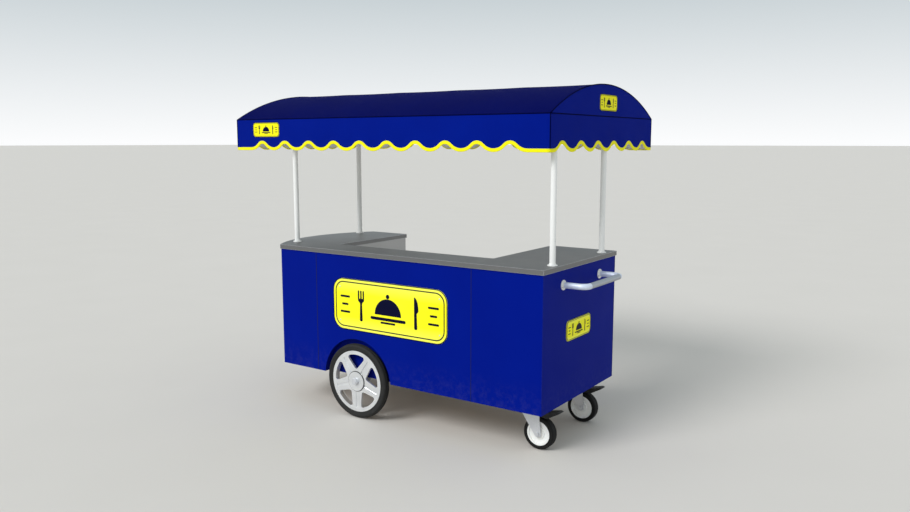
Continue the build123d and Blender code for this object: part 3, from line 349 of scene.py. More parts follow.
def moulded(name, first, second, roughness):
    finish = Finish(name, roughness=roughness)
    finish.shader.inputs["Subsurface Weight"].default_value = 0.03
    mottle = finish.noise(26.0, 4.0)
    stain = finish.patches(60.0, 6.0, 0.7, 0.58, 0.85, 0.4)
    finish.colour(finish.mix(stain, finish.mix(mottle, first, second), srgb(150, 148, 142)))
    finish.gloss(mottle, roughness - 0.07, roughness + 0.08)
    finish.relief(finish.noise(500.0, 2.0), 0.00005, 0.4)
    return finish.material


def board_wood():
    finish = Finish("sealed_board", roughness=0.5)
    grain = finish.noise(1.0, 6.0, finish.stretch((3.0, 60.0, 60.0)), 0.6)
    rings = finish.noise(1.0, 2.0, finish.stretch((1.2, 9.0, 9.0)))
    tone = finish.ramp(grain, (0.30, srgb(150, 118, 78)), (0.55, srgb(186, 154, 108)),
                       (0.80, srgb(204, 176, 132)))
    finish.colour(finish.mix(finish.maths("MULTIPLY", rings, 0.4), tone, srgb(160, 124, 80)))
    finish.gloss(grain, 0.42, 0.62)
    finish.relief(grain, 0.0002, 0.5)
    return finish.material


wheel_silver = cast_silver()
tyre_rubber = rubber("tyre_rubber", srgb(26, 26, 26), srgb(42, 42, 41), srgb(74, 73, 70))
caster_rubber = rubber("caster_rubber", srgb(8, 8, 8), srgb(18, 18, 18), srgb(40, 39, 38))
wheel_nylon = moulded("white_wheel_nylon", srgb(236, 236, 233), srgb(248, 248, 246), 0.42)
deck_board = board_wood()
print("hard finishes:", wheel_silver.name, tyre_rubber.name, wheel_nylon.name, deck_board.name)

# %% [markdown]
# ## Canvas and tape
# The roof cloth is coated canvas. Its weave is finer than a millimetre, so it belongs in the
# bump, not in the mesh. Two wave patterns, one along each thread direction, make the weave;
# they follow the cloth's own flat (UV) coordinates, which run on round every corner. The
# inside face of the cloth is left white, as coated awning cloth is. A wave of scale one has a
# band every 0.314 metres, and that turns a thread's pitch into the scale of its wave.


# %% Mix the cloths
thread_pitch = 0.0014
bands_per_metre = 0.314


def woven(name, deep, bright, roughness, sheen, pitch=thread_pitch, relief=0.00022):
    finish = Finish(name, roughness=roughness, mirror=0.02)
    finish.shader.inputs["Sheen Weight"].default_value = sheen
    finish.shader.inputs["Sheen Roughness"].default_value = 0.5
    flat = finish.nodes.new("ShaderNodeTexCoord").outputs["UV"]
    threads = []
    for direction in ("X", "Y"):
        wave = finish.nodes.new("ShaderNodeTexWave")
        wave.bands_direction = direction
        wave.inputs["Scale"].default_value = bands_per_metre / pitch
        wave.inputs["Distortion"].default_value = 0.6
        wave.inputs["Detail"].default_value = 1.0
        finish.links.new(flat, wave.inputs["Vector"])
        threads.append(wave.outputs["Fac"])
    weave = finish.maths("MULTIPLY", threads[0], threads[1])
    clouds = finish.noise(4.0, 5.0)
    fade = finish.noise(60.0, 5.0, rough=0.7)
    tone = finish.mix(clouds, deep, bright)
    tone = finish.mix(finish.maths("MULTIPLY", weave, 0.28), tone, bright)
    finish.colour(finish.mix(finish.maths("MULTIPLY", fade, 0.25), tone, deep))
    finish.gloss(weave, roughness - 0.08, roughness + 0.08)
    finish.relief(weave, relief, 0.7)
    return finish.material


canvas_navy = woven("canvas_navy", srgb(0, 20, 122), srgb(0, 28, 140), 0.72, 0.01)
# painted shade: the same canvas as the skirt, mixed darker for the roof's top faces
roof_canvas_painted_shade = woven("roof_canvas_painted_darker", srgb(0, 4, 70), srgb(0, 8, 84), 0.8, 0.0)
canvas_white = woven("canvas_white_inside", srgb(226, 226, 222), srgb(240, 240, 237), 0.8, 0.1)
tape_yellow = woven("yellow_tape", srgb(244, 236, 12), srgb(255, 250, 30), 0.6, 0.1, 0.0011, 0.00018)
thread_navy = woven("navy_thread", srgb(0, 3, 46), srgb(0, 6, 60), 0.75, 0.02, 0.0008, 0.00015)
piping_navy = woven("piping_cord", srgb(0, 1, 34), srgb(0, 3, 46), 0.85, 0.0, 0.0008, 0.00015)
print("cloths:", canvas_navy.name, canvas_white.name, tape_yellow.name)

# %% [markdown]
# ## Handing the finishes out
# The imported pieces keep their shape, so all they need is the right finish in their first
# material slot. A table from finish to pieces reads like a paint shop's job list. The
# canopy's frame and its posts share one white powder coat.

# %% Give every structural piece its finish
job_list = {
    navy_paint: ("front_panel", "left_end_panel", "right_end_panel", "rear_low_panel",
                 "wheel_wells", "left_rear_frame", "right_rear_frame", "left_door", "right_door"),
    frame_paint: ("chassis_tubes", "frame_uprights", "frame_top_rails", "axle_hangers"),
    worktop_steel: ("worktop_sheet", "cabinet_shelves"),
    # the bay walls get the lighter steel, which is painted light
    wall_steel_painted_lighter: ("bay_wall_panels",),
    deck_board: ("deck_floor", "worktop_board"),
    white_coat: ("canopy_posts", "canopy_eave_rails", "canopy_cross_rails", "canopy_bows",
                 "canopy_purlins", "tube_flanges"),
    wheel_silver: ("front_wheel_rim", "rear_wheel_rim"),
    tyre_rubber: ("front_wheel_tyre", "rear_wheel_tyre"),
    caster_rubber: ("front_caster_tyre", "rear_caster_tyre"),
    wheel_nylon: ("front_caster_hub", "rear_caster_hub"),
    pedal_black: ("front_caster_brake", "rear_caster_brake"),
    grip_steel: ("handle_grip",),
    handle_silver: ("handle_arms",),
    latch_chrome: ("left_door_latch", "right_door_latch"),
    zinc: ("wheel_axle", "axle_spacers", "axle_nuts", "front_wheel_bearings",
           "rear_wheel_bearings", "caster_top_plates", "caster_bolts", "front_caster_fork",
           "rear_caster_fork", "front_caster_axle", "rear_caster_axle", "flange_screws",
           "post_spigots", "door_hinges", "shelf_cleats"),
}


def wear(piece, finish):
    piece.data.materials.clear()
    piece.data.materials.append(finish)


for finish, names in job_list.items():
    for name in names:
        wear(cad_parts[name], finish)
print(sum(len(names) for names in job_list.values()), "pieces painted or plated")

# %% [markdown]
# ## A floor and soft light
# The floor is one very large plane with a fine mottled tone, so that contact shadows have
# something to fall on. A small floor would do under the cart, but its edge would show.

# %% Lay the floor
floor_half = 400.0
floor_mesh = bpy.data.meshes.new("studio_floor")
floor_corners = [(-floor_half, -floor_half, 0), (floor_half, -floor_half, 0),
                 (floor_half, floor_half, 0), (-floor_half, floor_half, 0)]
floor_mesh.from_pydata(floor_corners, [], [(0, 1, 2, 3)])
floor = bpy.data.objects.new("studio_floor", floor_mesh)
bpy.context.scene.collection.objects.link(floor)

floor_finish = Finish("pale_floor", roughness=0.9, mirror=0.1)
mottle = floor_finish.noise(1.4, 6.0)
floor_finish.colour(floor_finish.mix(mottle, srgb(211, 206, 200), srgb(215, 210, 204)))
floor_finish.relief(floor_finish.noise(90.0, 4.0), 0.0003, 0.3)
wear(floor, floor_finish.material)
print("floor is", 2 * floor_half, "m wide")

# %% [markdown]
# The world is a pale sky, lightest at the horizon, and it does most of the lighting. A sun
# lamp with a wide disc stands for a studio's soft box: its light is even over the whole floor,
# and the wide disc keeps the shadows' edges soft. Standard colour handling keeps the paint as
# saturated as it was mixed.

# %% Hang the lamp and the sky
sun_data = bpy.data.lights.new("soft_box", "SUN")
sun_data.energy = 2.0
sun_data.angle = radians(28)
sun = bpy.data.objects.new("soft_box", sun_data)
sun.rotation_euler = Vector((0.30, 1.0, -0.85)).to_track_quat("-Z", "Y").to_euler()
bpy.context.scene.collection.objects.link(sun)

sky = bpy.data.worlds.new("pale_sky")
sky.use_nodes = True
bpy.context.scene.world = sky
sky_nodes, sky_links = sky.node_tree.nodes, sky.node_tree.links
direction = sky_nodes.new("ShaderNodeTexCoord")
upward = sky_nodes.new("ShaderNodeSeparateXYZ")
sky_ramp = sky_nodes.new("ShaderNodeValToRGB")
horizon, zenith = sky_ramp.color_ramp.elements
horizon.position, horizon.color = 0.0, srgb(252, 253, 254)
zenith.position, zenith.color = 0.17, srgb(200, 209, 213)
sky_links.new(direction.outputs["Generated"], upward.inputs[0])
sky_links.new(upward.outputs["Z"], sky_ramp.inputs["Fac"])
sky_links.new(sky_ramp.outputs["Color"], sky_nodes["Background"].inputs["Color"])
sky_nodes["Background"].inputs["Strength"].default_value = 1.0
bpy.context.scene.view_settings.view_transform = "Standard"
print("soft box of", sun_data.energy, "W per square metre")

# %% [markdown]
# ## The canopy, one continuous cloth
# A canopy like this is cut as a roof, two gables and a skirt, and sewn into one shell that
# drops over the bows like a fitted sheet. It could be draped by simulation, but a tight cover
# barely moves: its shape is the frame's. So it is laid out as grids that share their
# edges, welded, and then eased: it dips between the bows and the skirt hangs in slow waves.

# %% Measure the canopy's frame
roof_low, roof_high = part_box("canopy_roof_cloth")
tape_low, tape_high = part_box("valance_binding")
structure_tape = 24 * mm
tape_width = 19 * mm
cloth_thickness = 2 * mm
scallop_rise = tape_high.z - tape_low.z - structure_tape
skirt_bottom = tape_low.z
eave = roof_low.z
rise = roof_high.z - eave
middle_y = (roof_low.y + roof_high.y) / 2
half_span = (roof_high.y - roof_low.y) / 2
roof_radius = (half_span ** 2 + rise ** 2) / (2 * rise)
roof_centre_z = roof_high.z - roof_radius
bow_faces = sorted({round(v.co.x, 3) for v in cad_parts["canopy_bows"].data.vertices})
bows = list(zip(bow_faces[::2], bow_faces[1::2]))
print("roof radius", round(roof_radius, 3), "m over", len(bows), "bows")

# %% [markdown]
# The skirt's lower edge is a row of round lobes between narrow round notches. Every arc is
# tangent to its neighbours, so the whole outline follows from the pitch, the rise and the
# notch's radius. Moving it up by a distance keeps the circles' centres and changes only their
# radii: that gives the upper edge of the tape and the line of its stitches as well.

# %% Draw the scalloped outline
notch_radius = 42 * mm
lobe_steps = 4
notch_steps = 6


def outline(length, count, pitch, lift):
    """Points (along, height) of one side's lower edge, raised by lift."""
    lean = 2 * atan(2 * scallop_rise / pitch)
    reach = pitch / 2 / sin(lean)
    lobe = reach - notch_radius - lift
    lobe_z = skirt_bottom + reach - notch_radius
    notch = notch_radius + lift
    notch_z = skirt_bottom + scallop_rise - notch_radius
    margin = (length - count * pitch) / 2
    flat_steps = max(2, round(margin / (25 * mm)))
    points = [(margin * i / flat_steps, skirt_bottom + lift) for i in range(flat_steps)]
    for scallop in range(count):
        low = margin + scallop * pitch
        for i in range(lobe_steps):
            a = lean * i / lobe_steps
            points.append((low + lobe * sin(a), lobe_z - lobe * cos(a)))
        for i in range(notch_steps):
            a = lean * (2 * i / notch_steps - 1)
            points.append((low + pitch / 2 + notch * sin(a), notch_z + notch * cos(a)))
        for i in range(lobe_steps):
            a = lean * (1 - i / lobe_steps)
            points.append((low + pitch - lobe * sin(a), lobe_z - lobe * cos(a)))
    start = length - margin
    points += [(start + margin * i / flat_steps, skirt_bottom + lift) for i in range(flat_steps + 1)]
    return points


long_side = roof_high.x - roof_low.x
short_side = 2 * half_span
long_scallops = (10, 202.3 * mm)
short_scallops = (6, 215 * mm)
print("points along one long side:", len(outline(long_side, *long_scallops, 0)))

# %% [markdown]
# A skirt hangs in gentle waves that grow towards its free edge. One function holds the whole
# drape: it takes a place on the flat skirt and gives the point in space. Cloth, tape, stitches
# and patches all go through it, so they move together and never part.

# %% Hang the skirt
# one row for each side: start corner, direction along, outward direction, length, scallops
sides = []
for k, heading in enumerate((Vector((1, 0, 0)), Vector((0, 1, 0)), Vector((-1, 0, 0)), Vector((0, -1, 0)))):
    corner = Vector((roof_high.x if k in (1, 2) else roof_low.x,
                     roof_high.y if k in (2, 3) else roof_low.y, 0))
    sides.append((corner, heading, Vector((heading.y, -heading.x, 0)),
                  short_side if k % 2 else long_side, short_scallops if k % 2 else long_scallops))
wave_depth = 4.5 * mm
corner_hold = 90 * mm


def hang(side, along, height, out=0.0):
    """A point of the skirt: side 0 to 3, distance along it, height, distance off its face."""
    corner, direction, outward, length, scallops = sides[side]
    fall = max(0.0, (eave - height) / (eave - skirt_bottom))
    hold = min(1.0, along / corner_hold, (length - along) / corner_hold)
    turn = 2 * pi * along / scallops[1]
    wave = 0.6 * sin(turn + 0.8 * side) + 0.4 * sin(0.37 * turn + 2.1 + side)
    push = wave_depth * max(0.0, hold) * fall ** 2 * wave
    point = corner + direction * along + outward * (push + out)
    point.z = height
    return point


lobe_out = hang(0, long_side / 2, skirt_bottom).y - roof_low.y
print("a lobe near the middle stands out", round(lobe_out / mm, 1), "mm")

# %% [markdown]
# Grids are the simplest honest mesh: rows of points, joined by four-sided faces. Each grid
# brings its own flat coordinates, in metres, so the weave keeps its scale round every edge.
# Welding joins grids where they meet, and drops the slivers where the gable's columns run out.


# %% Helpers that make and weld grids
def new_piece(name, shape, finish, body="cart", weld=0.001 * mm):
    """Put a mesh, or a bmesh that is still to be closed up, on a body as a piece of its own."""
    mesh = finish_mesh(shape, name, weld) if isinstance(shape, bmesh.types.BMesh) else shape
    piece = bpy.data.objects.new(name, mesh)
    bpy.context.scene.collection.objects.link(piece)
    for item in finish if isinstance(finish, (list, tuple)) else (finish,):
        piece.data.materials.append(item)
    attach(piece, body)
    return piece


def add_grid(bm, rows, flat_rows, closed=False, slot=0):
    """Join rows of points with faces; flat_rows holds each point's place on the flat cloth."""
    layer = bm.loops.layers.uv.verify()
    made = [[bm.verts.new(point) for point in row] for row in rows]
    for r in range(len(made) - 1):
        count = len(made[r])
        for c in range(count if closed else count - 1):
            d = (c + 1) % count
            ring = [(r, c), (r, d), (r + 1, d), (r + 1, c)]
            face = bm.faces.new([made[i][j] for i, j in ring])
            face.material_index = slot
            face.smooth = True
            for loop, (i, j) in zip(face.loops, ring):
                loop[layer].uv = flat_rows[i][j]


sheet_weld = 0.02 * mm


def finish_mesh(bm, name, weld=sheet_weld):
    bmesh.ops.remove_doubles(bm, verts=bm.verts, dist=weld)
    bmesh.ops.dissolve_degenerate(bm, edges=bm.edges, dist=0.01 * mm)
    bmesh.ops.recalc_face_normals(bm, faces=bm.faces)
    mesh = bpy.data.meshes.new(name)
    bm.to_mesh(mesh)
    bm.free()
    return mesh


def settle(piece):
    """Apply a piece's modifiers, so that what is seen is what is kept."""
    graph = bpy.context.evaluated_depsgraph_get()
    mesh = bpy.data.meshes.new_from_object(piece.evaluated_get(graph))
    piece.modifiers.clear()
    piece.data = mesh


print("grid helpers ready")

# %% [markdown]
# The roof is part of a cylinder, so a place across the cart gives both its height and its
# distance along the arch. Between two bows it dips by a little, as stretched cloth does.

# %% Shape the roof
bow_dip = 4 * mm


def arch(y):
    """Height of the roof above a place across it."""
    return roof_centre_z + sqrt(max(0.0, roof_radius ** 2 - (y - middle_y) ** 2))


def arc_length(y):
    return roof_radius * atan((y - middle_y) / (arch(y) - roof_centre_z))


def dip(x, y):
    """How far the cloth sinks between two bows."""
    for (_, left), (right, _) in zip(bows, bows[1:]):
        if left < x < right:
            share = (x - left) / (right - left)
            across = 1 - ((y - middle_y) / half_span) ** 2
            return bow_dip * (right - left) * 4 * share * (1 - share) * across ** 0.6
    return 0.0


print("the arch is", round(2 * arc_length(roof_high.y), 3), "m long, its span", round(short_side, 3))

# %% [markdown]
# The roof, both gables and all four skirts take their columns from the same scalloped outline,
# so their edges share every point and weld without gaps. The roof's top faces get a darker copy of the same
# canvas: painted shade.

# %% Lay out the roof, the gables and the skirt
canopy = bmesh.new()
along_x = [roof_low.x + place for place, _ in outline(long_side, *long_scallops, 0)]
across_y = [roof_low.y + place for place, _ in outline(short_side, *short_scallops, 0)]
roof_rows = [[Vector((x, y, arch(y) - dip(x, y))) for x in along_x] for y in across_y]
add_grid(canopy, roof_rows, [[(x, arc_length(y)) for x in along_x] for y in across_y])

gable_steps = 6
for x in (roof_low.x, roof_high.x):
    levels = [[eave + (arch(y) - eave) * step / gable_steps for y in across_y]
              for step in range(gable_steps + 1)]
    add_grid(canopy, [[Vector((x, y, z)) for y, z in zip(across_y, level)] for level in levels],
             [[(y + x, z) for y, z in zip(across_y, level)] for level in levels])

skirt_steps = 10
under_tape = 4 * mm
for side, (corner, direction, outward, length, scallops) in enumerate(sides):
    edge = outline(length, *scallops, 0)
    rows, flat_rows = [], []
    for step in range(skirt_steps + 1):
        share = step / skirt_steps
        heights = [eave + (z + under_tape - eave) * share for _, z in edge]
        rows.append([hang(side, s, z) for (s, _), z in zip(edge, heights)])
        flat_rows.append([(s + 3 * side, z) for (s, _), z in zip(edge, heights)])
    add_grid(canopy, rows, flat_rows)
# the roof's top faces take the darker canvas, which is painted shade
canopy.normal_update()
for face in canopy.faces:
    if face.calc_center_median().z > eave and abs(face.normal.x) < 0.5:
        face.material_index = 1
cover_mesh = finish_mesh(canopy, "canopy_cover")

# %% [markdown]
# The cover gets its two millimetres from a Solidify modifier that grows inwards, and a Bevel
# rounds the sewn edges. Solidify can give the new inner skin another material, which is how
# the white inside of the cloth appears without a second mesh.

# %% Give the cover its thickness
cover = new_piece("canopy_cover", cover_mesh, (canvas_navy, roof_canvas_painted_shade, canvas_white, canvas_white))
edge_round = cover.modifiers.new("sewn_edges", "BEVEL")
edge_round.width = 3.5 * mm
edge_round.segments = 2
edge_round.limit_method = "ANGLE"
edge_round.angle_limit = radians(40)
skin = cover.modifiers.new("cloth_thickness", "SOLIDIFY")
skin.thickness = cloth_thickness
skin.offset = -1
skin.material_offset = 2
skin.use_even_offset = True
settle(cover)
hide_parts("canopy_roof_cloth", "canopy_end_cloths", "canopy_valances")
print("cover:", len(cover.data.polygons), "faces with its inner skin")

# %% [markdown]
# ## Tape, piping and thread
# Yellow tape is sewn on the outside of the scalloped edge and turned over it in a narrow hem,
# so the white inside of the skirt stays white. It is one ribbon that goes down the outside,
# round the edge and a little way up the inside: lifting the outline gives each line of it.

# %% Fold the tape over the edge
tape_bulge = 1.4 * mm
hem = 6 * mm
# (lift above the edge, distance off the cloth's outer face), from the outside in
tape_section = [(tape_width, 0.2 * mm), (tape_width, 0.9 * mm), (14 * mm, 1.2 * mm),
                (5 * mm, tape_bulge), (1.2 * mm, 1.1 * mm), (0.0, -0.2 * mm),
                (0.0, -1.8 * mm), (1.2 * mm, -2.9 * mm), (4 * mm, -3.1 * mm),
                (hem, -2.9 * mm), (hem, -2.2 * mm)]


def ring_at(lift, out):
    """The outline all the way round, lifted and moved off the cloth; corners are mitred."""
    points, places = [], []
    travelled = 0.0
    for side, (corner, direction, outward, length, scallops) in enumerate(sides):
        for s, z in outline(length, *scallops, lift)[:-1]:
            spread = (s / length * 2 - 1) * out
            points.append(hang(side, s, z, out) + direction * spread)
            places.append(travelled + s)
        travelled += length
    return points, places


binding = bmesh.new()
rings = [ring_at(lift, out) for lift, out in tape_section]
width_so_far = [0.0]
for (lift, out), (next_lift, next_out) in zip(tape_section, tape_section[1:]):
    width_so_far.append(width_so_far[-1] + sqrt((lift - next_lift) ** 2 + (out - next_out) ** 2))
add_grid(binding, [points for points, _ in rings],
         [[(place, width) for place in places] for (_, places), width in zip(rings, width_so_far)],
         closed=True)
tape = new_piece("valance_tape", binding, tape_yellow, weld=sheet_weld)
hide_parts("valance_binding")
tape_length = sum((b - a).length for a, b in zip(ring_at(0, 0)[0], ring_at(0, 0)[0][1:]))
print("tape:", round(tape_length, 2), "m long")

# %% [markdown]
# Stitches could be a picture in the material, but from near by thread has a body of its own.
# Here they are short raised capsules at an even pitch, set along the same outline on both
# faces of the cloth.


# %% Sew it down
def walk(points, pitch):
    """Points and headings at an even pitch along a closed line of points."""
    loop = list(points) + [points[0]]
    places, due = [], pitch / 2
    travelled = 0.0
    for a, b in zip(loop, loop[1:]):
        step = (b - a).length
        while travelled + step >= due:
            places.append((a + (b - a) * ((due - travelled) / step), (b - a).normalized()))
            due += pitch
        travelled += step
    return places


def add_stitch(bm, middle, heading, outward, length, thick):
    """A capsule with four sides and pointed ends, lying on the cloth."""
    across = heading.cross(outward).normalized()
    ends = [bm.verts.new(middle + heading * length / 2 * k - outward * thick * 0.6) for k in (-1, 1)]
    rings_of_four = []
    for k in (-0.3, 0.3):
        centre = middle + heading * length * k
        rings_of_four.append([bm.verts.new(centre + across * thick * a + outward * thick * b)
                              for a, b in ((1, 0), (0.4, 1), (-0.4, 1), (-1, 0))])
    for i in range(3):
        bm.faces.new([rings_of_four[0][i], rings_of_four[1][i],
                      rings_of_four[1][i + 1], rings_of_four[0][i + 1]])
        bm.faces.new([ends[0], rings_of_four[0][i], rings_of_four[0][i + 1]])
        bm.faces.new([ends[1], rings_of_four[1][i + 1], rings_of_four[1][i]])


stitch_pitch = 8 * mm
stitch_length = 5.4 * mm
stitch_lift = 15 * mm
thread_half = 0.5 * mm
stitching = bmesh.new()
for out in (1.1 * mm, -cloth_thickness - 0.1 * mm):
    for point, heading in walk(ring_at(stitch_lift, out)[0], stitch_pitch):
        flat = Vector((heading.x, heading.y, 0)).normalized()
        facing = Vector((flat.y, -flat.x, 0)) * (1 if out > 0 else -1)
        add_stitch(stitching, point, heading, facing, stitch_length, thread_half)
stitch_count = len(stitching.verts) // 10
stitch_thread = woven("yellow_thread", srgb(214, 198, 6), srgb(236, 222, 14), 0.6, 0.2,
                      0.0005, 0.0001)
stitches = new_piece("valance_stitches", stitching, stitch_thread)
print(stitch_count, "stitches")

# %% [markdown]
# Where the panels of the cover are sewn together, a thin round piping is sewn in as well. It
# keeps the edges crisp, and it reads as a dark line along the eaves, the gables and the
# corners. A tube swept along a line of points is enough, with its ring of points carried from
# one step to the next so that it doesn't twist.


# %% A helper that sweeps a tube
def circle(count):
    """Cosines and sines of even steps round a circle."""
    return [(cos(2 * pi * k / count), sin(2 * pi * k / count)) for k in range(count)]


def add_tube(bm, points, radius, closed=False, around=6):
    layer = bm.loops.layers.uv.verify()
    count = len(points)
    rings_made = []
    normal = None
    travelled = [0.0]
    for i, point in enumerate(points):
        before = points[i - 1] if closed or i else point
        after = points[(i + 1) % count] if closed or i < count - 1 else point
        heading = (after - before).normalized()
        start = normal or (Vector((0, 0, 1)) if abs(heading.z) < 0.9 else Vector((1, 0, 0)))
        normal = (start - heading * start.dot(heading)).normalized()
        side_way = heading.cross(normal)
        rings_made.append([bm.verts.new(point + radius * (normal * c + side_way * s))
                           for c, s in circle(around)])
        travelled.append(travelled[-1] + (after - point).length)
    for i in range(count if closed else count - 1):
        j = (i + 1) % count
        for k in range(around):
            m = (k + 1) % around
            face = bm.faces.new([rings_made[i][k], rings_made[i][m], rings_made[j][m], rings_made[j][k]])
            face.smooth = True
            for loop, (u, v) in zip(face.loops, ((i, k), (i, k + 1), (i + 1, k + 1), (i + 1, k))):
                loop[layer].uv = (travelled[u], v * 2 * pi * radius / around)
    if not closed:
        bm.faces.new(rings_made[0])
        bm.faces.new(rings_made[-1][::-1])


print("tube helper ready")

# %% [markdown]
# The piping runs along the eaves, over both gables and down the corners to the tape. Then the
# cover and the tape are complete. The arch is 60 mm longer than its span, and the two eave seams
# take 15 mm each.

# %% Run the piping along the seams
piping_radius = 2.6 * mm
piping = bmesh.new()
corners_round = [Vector((corner.x, corner.y, eave)) for corner, *_ in sides]
for a, b in zip(corners_round, corners_round[1:] + corners_round[:1]):
    add_tube(piping, [a.lerp(b, i / 40) for i in range(41)], piping_radius)
for x in (roof_low.x, roof_high.x):
    add_tube(piping, [Vector((x, y, arch(y))) for y in across_y], piping_radius)
for corner in corners_round:
    add_tube(piping, [corner, Vector((corner.x, corner.y, skirt_bottom + tape_width))], piping_radius)
trim = new_piece("canopy_piping", piping, piping_navy)
print("piping sewn in, radius", piping_radius / mm, "mm")

# %% [markdown]
# ## Signs: enamelled plates with a food pictogram
# Each sign is a yellow plate with a navy keyline and a plain pictogram: a serving dome on its
# tray, between a fork and a knife. Such signs are cut from coloured sheet and laid on one
# another, so every colour is a thin flat solid of its own, with true edges. The pictogram is
# drawn once, in units of the sign's height, and every sign reuses it.

# %% Mix the sign's enamel
def enamel(name, middle, rim, dust_tone, roughness=0.34):
    finish = Finish(name, roughness=roughness, mirror=0.08)
    upright = finish.nodes.new("ShaderNodeSeparateXYZ")
    finish.links.new(finish.nodes.new("ShaderNodeTexCoord").outputs["Generated"], upright.inputs[0])
    fade = finish.ramp(upright.outputs["Z"], (0.0, 1.0), (0.26, 0.0), (0.72, 0.0), (1.0, 1.0))
    clouds = finish.maths("MULTIPLY", finish.noise(2.2, 3.0), 0.25)
    tone = finish.mix(clouds, finish.mix(fade, middle, rim), rim)
    dust = finish.patches(48.0, 6.0, 0.7, 0.55, 0.85, 0.2)
    finish.colour(finish.mix(dust, tone, dust_tone))
    finish.gloss(finish.noise(16.0, 4.0), roughness - 0.06, roughness + 0.12)
    finish.relief(finish.noise(260.0, 2.0), 0.00004, 0.4)
    return finish.material


sign_yellow = enamel("sign_yellow_enamel", srgb(253, 248, 2), srgb(252, 253, 96), srgb(196, 184, 60))
sign_navy = enamel("sign_navy_enamel", srgb(0, 3, 38), srgb(0, 6, 52), srgb(24, 28, 58))
print("enamels:", sign_yellow.name, sign_navy.name)

# %% [markdown]
# Every shape on the sign is an outline: a list of points, most of them on arcs. Curves could
# be drawn by hand in a curve object, but points from a few radii are easy to change.


# %% Draw flat outlines
def arc_points(centre, radius, start, end, steps):
    return [(centre[0] + radius * cos(radians(start + (end - start) * i / steps)),
             centre[1] + radius * sin(radians(start + (end - start) * i / steps)))
            for i in range(steps + 1)]


def rounded_plate(width, height, corner, steps=10):
    x, y = width / 2 - corner, height / 2 - corner
    points = []
    for cx, cy, start in ((x, y, 0), (-x, y, 90), (-x, -y, 180), (x, -y, 270)):
        points += arc_points((cx, cy), corner, start, start + 90, steps)
    return points


stout = 1.35


def pictogram():
    """Outlines of dome, tray, fork and knife, in units of the sign's height."""
    dome = arc_points((0, -0.10), 0.27, 0, 180, 28)
    knob = arc_points((0, 0.21), 0.036, -90, 270, 16)[:-1]
    tray = [(x, y - 0.165) for x, y in rounded_plate(0.72, 0.05, 0.024, 5)]
    foot = [(x, y - 0.225) for x, y in rounded_plate(0.30, 0.032, 0.015, 5)]
    handle_end = arc_points((0, -0.235), 0.022, 180, 360, 8)
    knife = ([(x + 0.56, y) for x, y in handle_end]
             + [(0.575, 0.0), (0.60, 0.04)]
             + [(0.56 - 0.022 + 0.062 * cos(radians(a)), 0.06 + 0.20 * sin(radians(a)))
                for a in range(10, 91, 10)]
             + [(0.538, 0.0)])
    tines = []
    for k in range(3):
        low, high = -0.048 + 0.0375 * k, -0.048 + 0.0375 * k + 0.021
        tines += [(low - 0.56, 0.12), (low - 0.56, 0.245), (low - 0.56 + 0.0105, 0.256),
                  (high - 0.56, 0.245), (high - 0.56, 0.12)]
    bowl = arc_points((-0.56, 0.10), 0.048, 0, -60, 5)
    bowl_left = arc_points((-0.56, 0.10), 0.048, -120, -180, 5)
    fork = (tines + bowl + [(-0.545, 0.03)]
            + [(x - 0.56, y) for x, y in handle_end[::-1]] + [(-0.575, 0.03)] + bowl_left)
    knife = [(0.56 + (x - 0.56) * stout, y) for x, y in knife]
    fork = [(-0.56 + (x + 0.56) * stout, y) for x, y in fork]
    return [dome, knob, tray, foot, knife, fork]


print("pictogram outlines:", [len(shape) for shape in pictogram()])

# %% [markdown]
# A flat sheet needs walls between two levels and a lid at each. An outline with a hole in it
# is closed by filling between its two loops. The same sheets serve as patches on cloth: they
# are cut into small cells first, so that they can bend.


# %% Cut a flat sheet
def cut_sheet(bm, outer, thickness, base, inner=None):
    """A flat solid: an outline, and maybe a hole, between two depths."""
    rims = []
    for loop in [outer] + ([inner] if inner else []):
        low = [bm.verts.new((u, v, base)) for u, v in loop]
        high = [bm.verts.new((u, v, base + thickness)) for u, v in loop]
        rims.append((low, high))
        for i in range(len(loop)):
            j = (i + 1) % len(loop)
            bm.faces.new([low[i], low[j], high[j], high[i]])
    for level in (0, 1):
        if inner:
            edges = []
            for rim in rims:
                ring = rim[level]
                edges += [bm.edges.get((ring[i], ring[(i + 1) % len(ring)])) for i in range(len(ring))]
            bmesh.ops.triangle_fill(bm, edges=edges, use_beauty=True)
        else:
            ring = rims[0][level]
            bmesh.ops.triangulate(bm, faces=[bm.faces.new(ring if level else ring[::-1])])


def lay_on(bm, place, width, height, cell):
    """Keep the flat coordinates as UVs, cut the sheet into cells that can bend, and place it."""
    if cell:
        for axis, reach in ((0, width / 2), (1, height / 2)):
            for k in range(-int(reach / cell), int(reach / cell) + 1):
                cut_at = Vector((0, 0, 0))
                cut_at[axis] = k * cell
                facing = Vector((0, 0, 0))
                facing[axis] = 1.0
                bmesh.ops.bisect_plane(bm, geom=bm.verts[:] + bm.edges[:] + bm.faces[:],
                                       plane_co=cut_at, plane_no=facing)
    layer = bm.loops.layers.uv.verify()
    for face in bm.faces:
        for loop in face.loops:
            loop[layer].uv = loop.vert.co.xy
    for vert in bm.verts:
        vert.co = place(*vert.co)


print("sheet helpers ready")

# %% [markdown]
# One function builds every sign: the plate, a dark ring round its edge as a painted shadow,
# a keyline a little way in, the pictogram, and three short dashes at each end. All the graphics
# are one piece, as they have one colour, and they are sunk a hair into the plate so that no gap shows.

# %% Build a sign
drawing_scale = 1.16
corner_share = 0.24


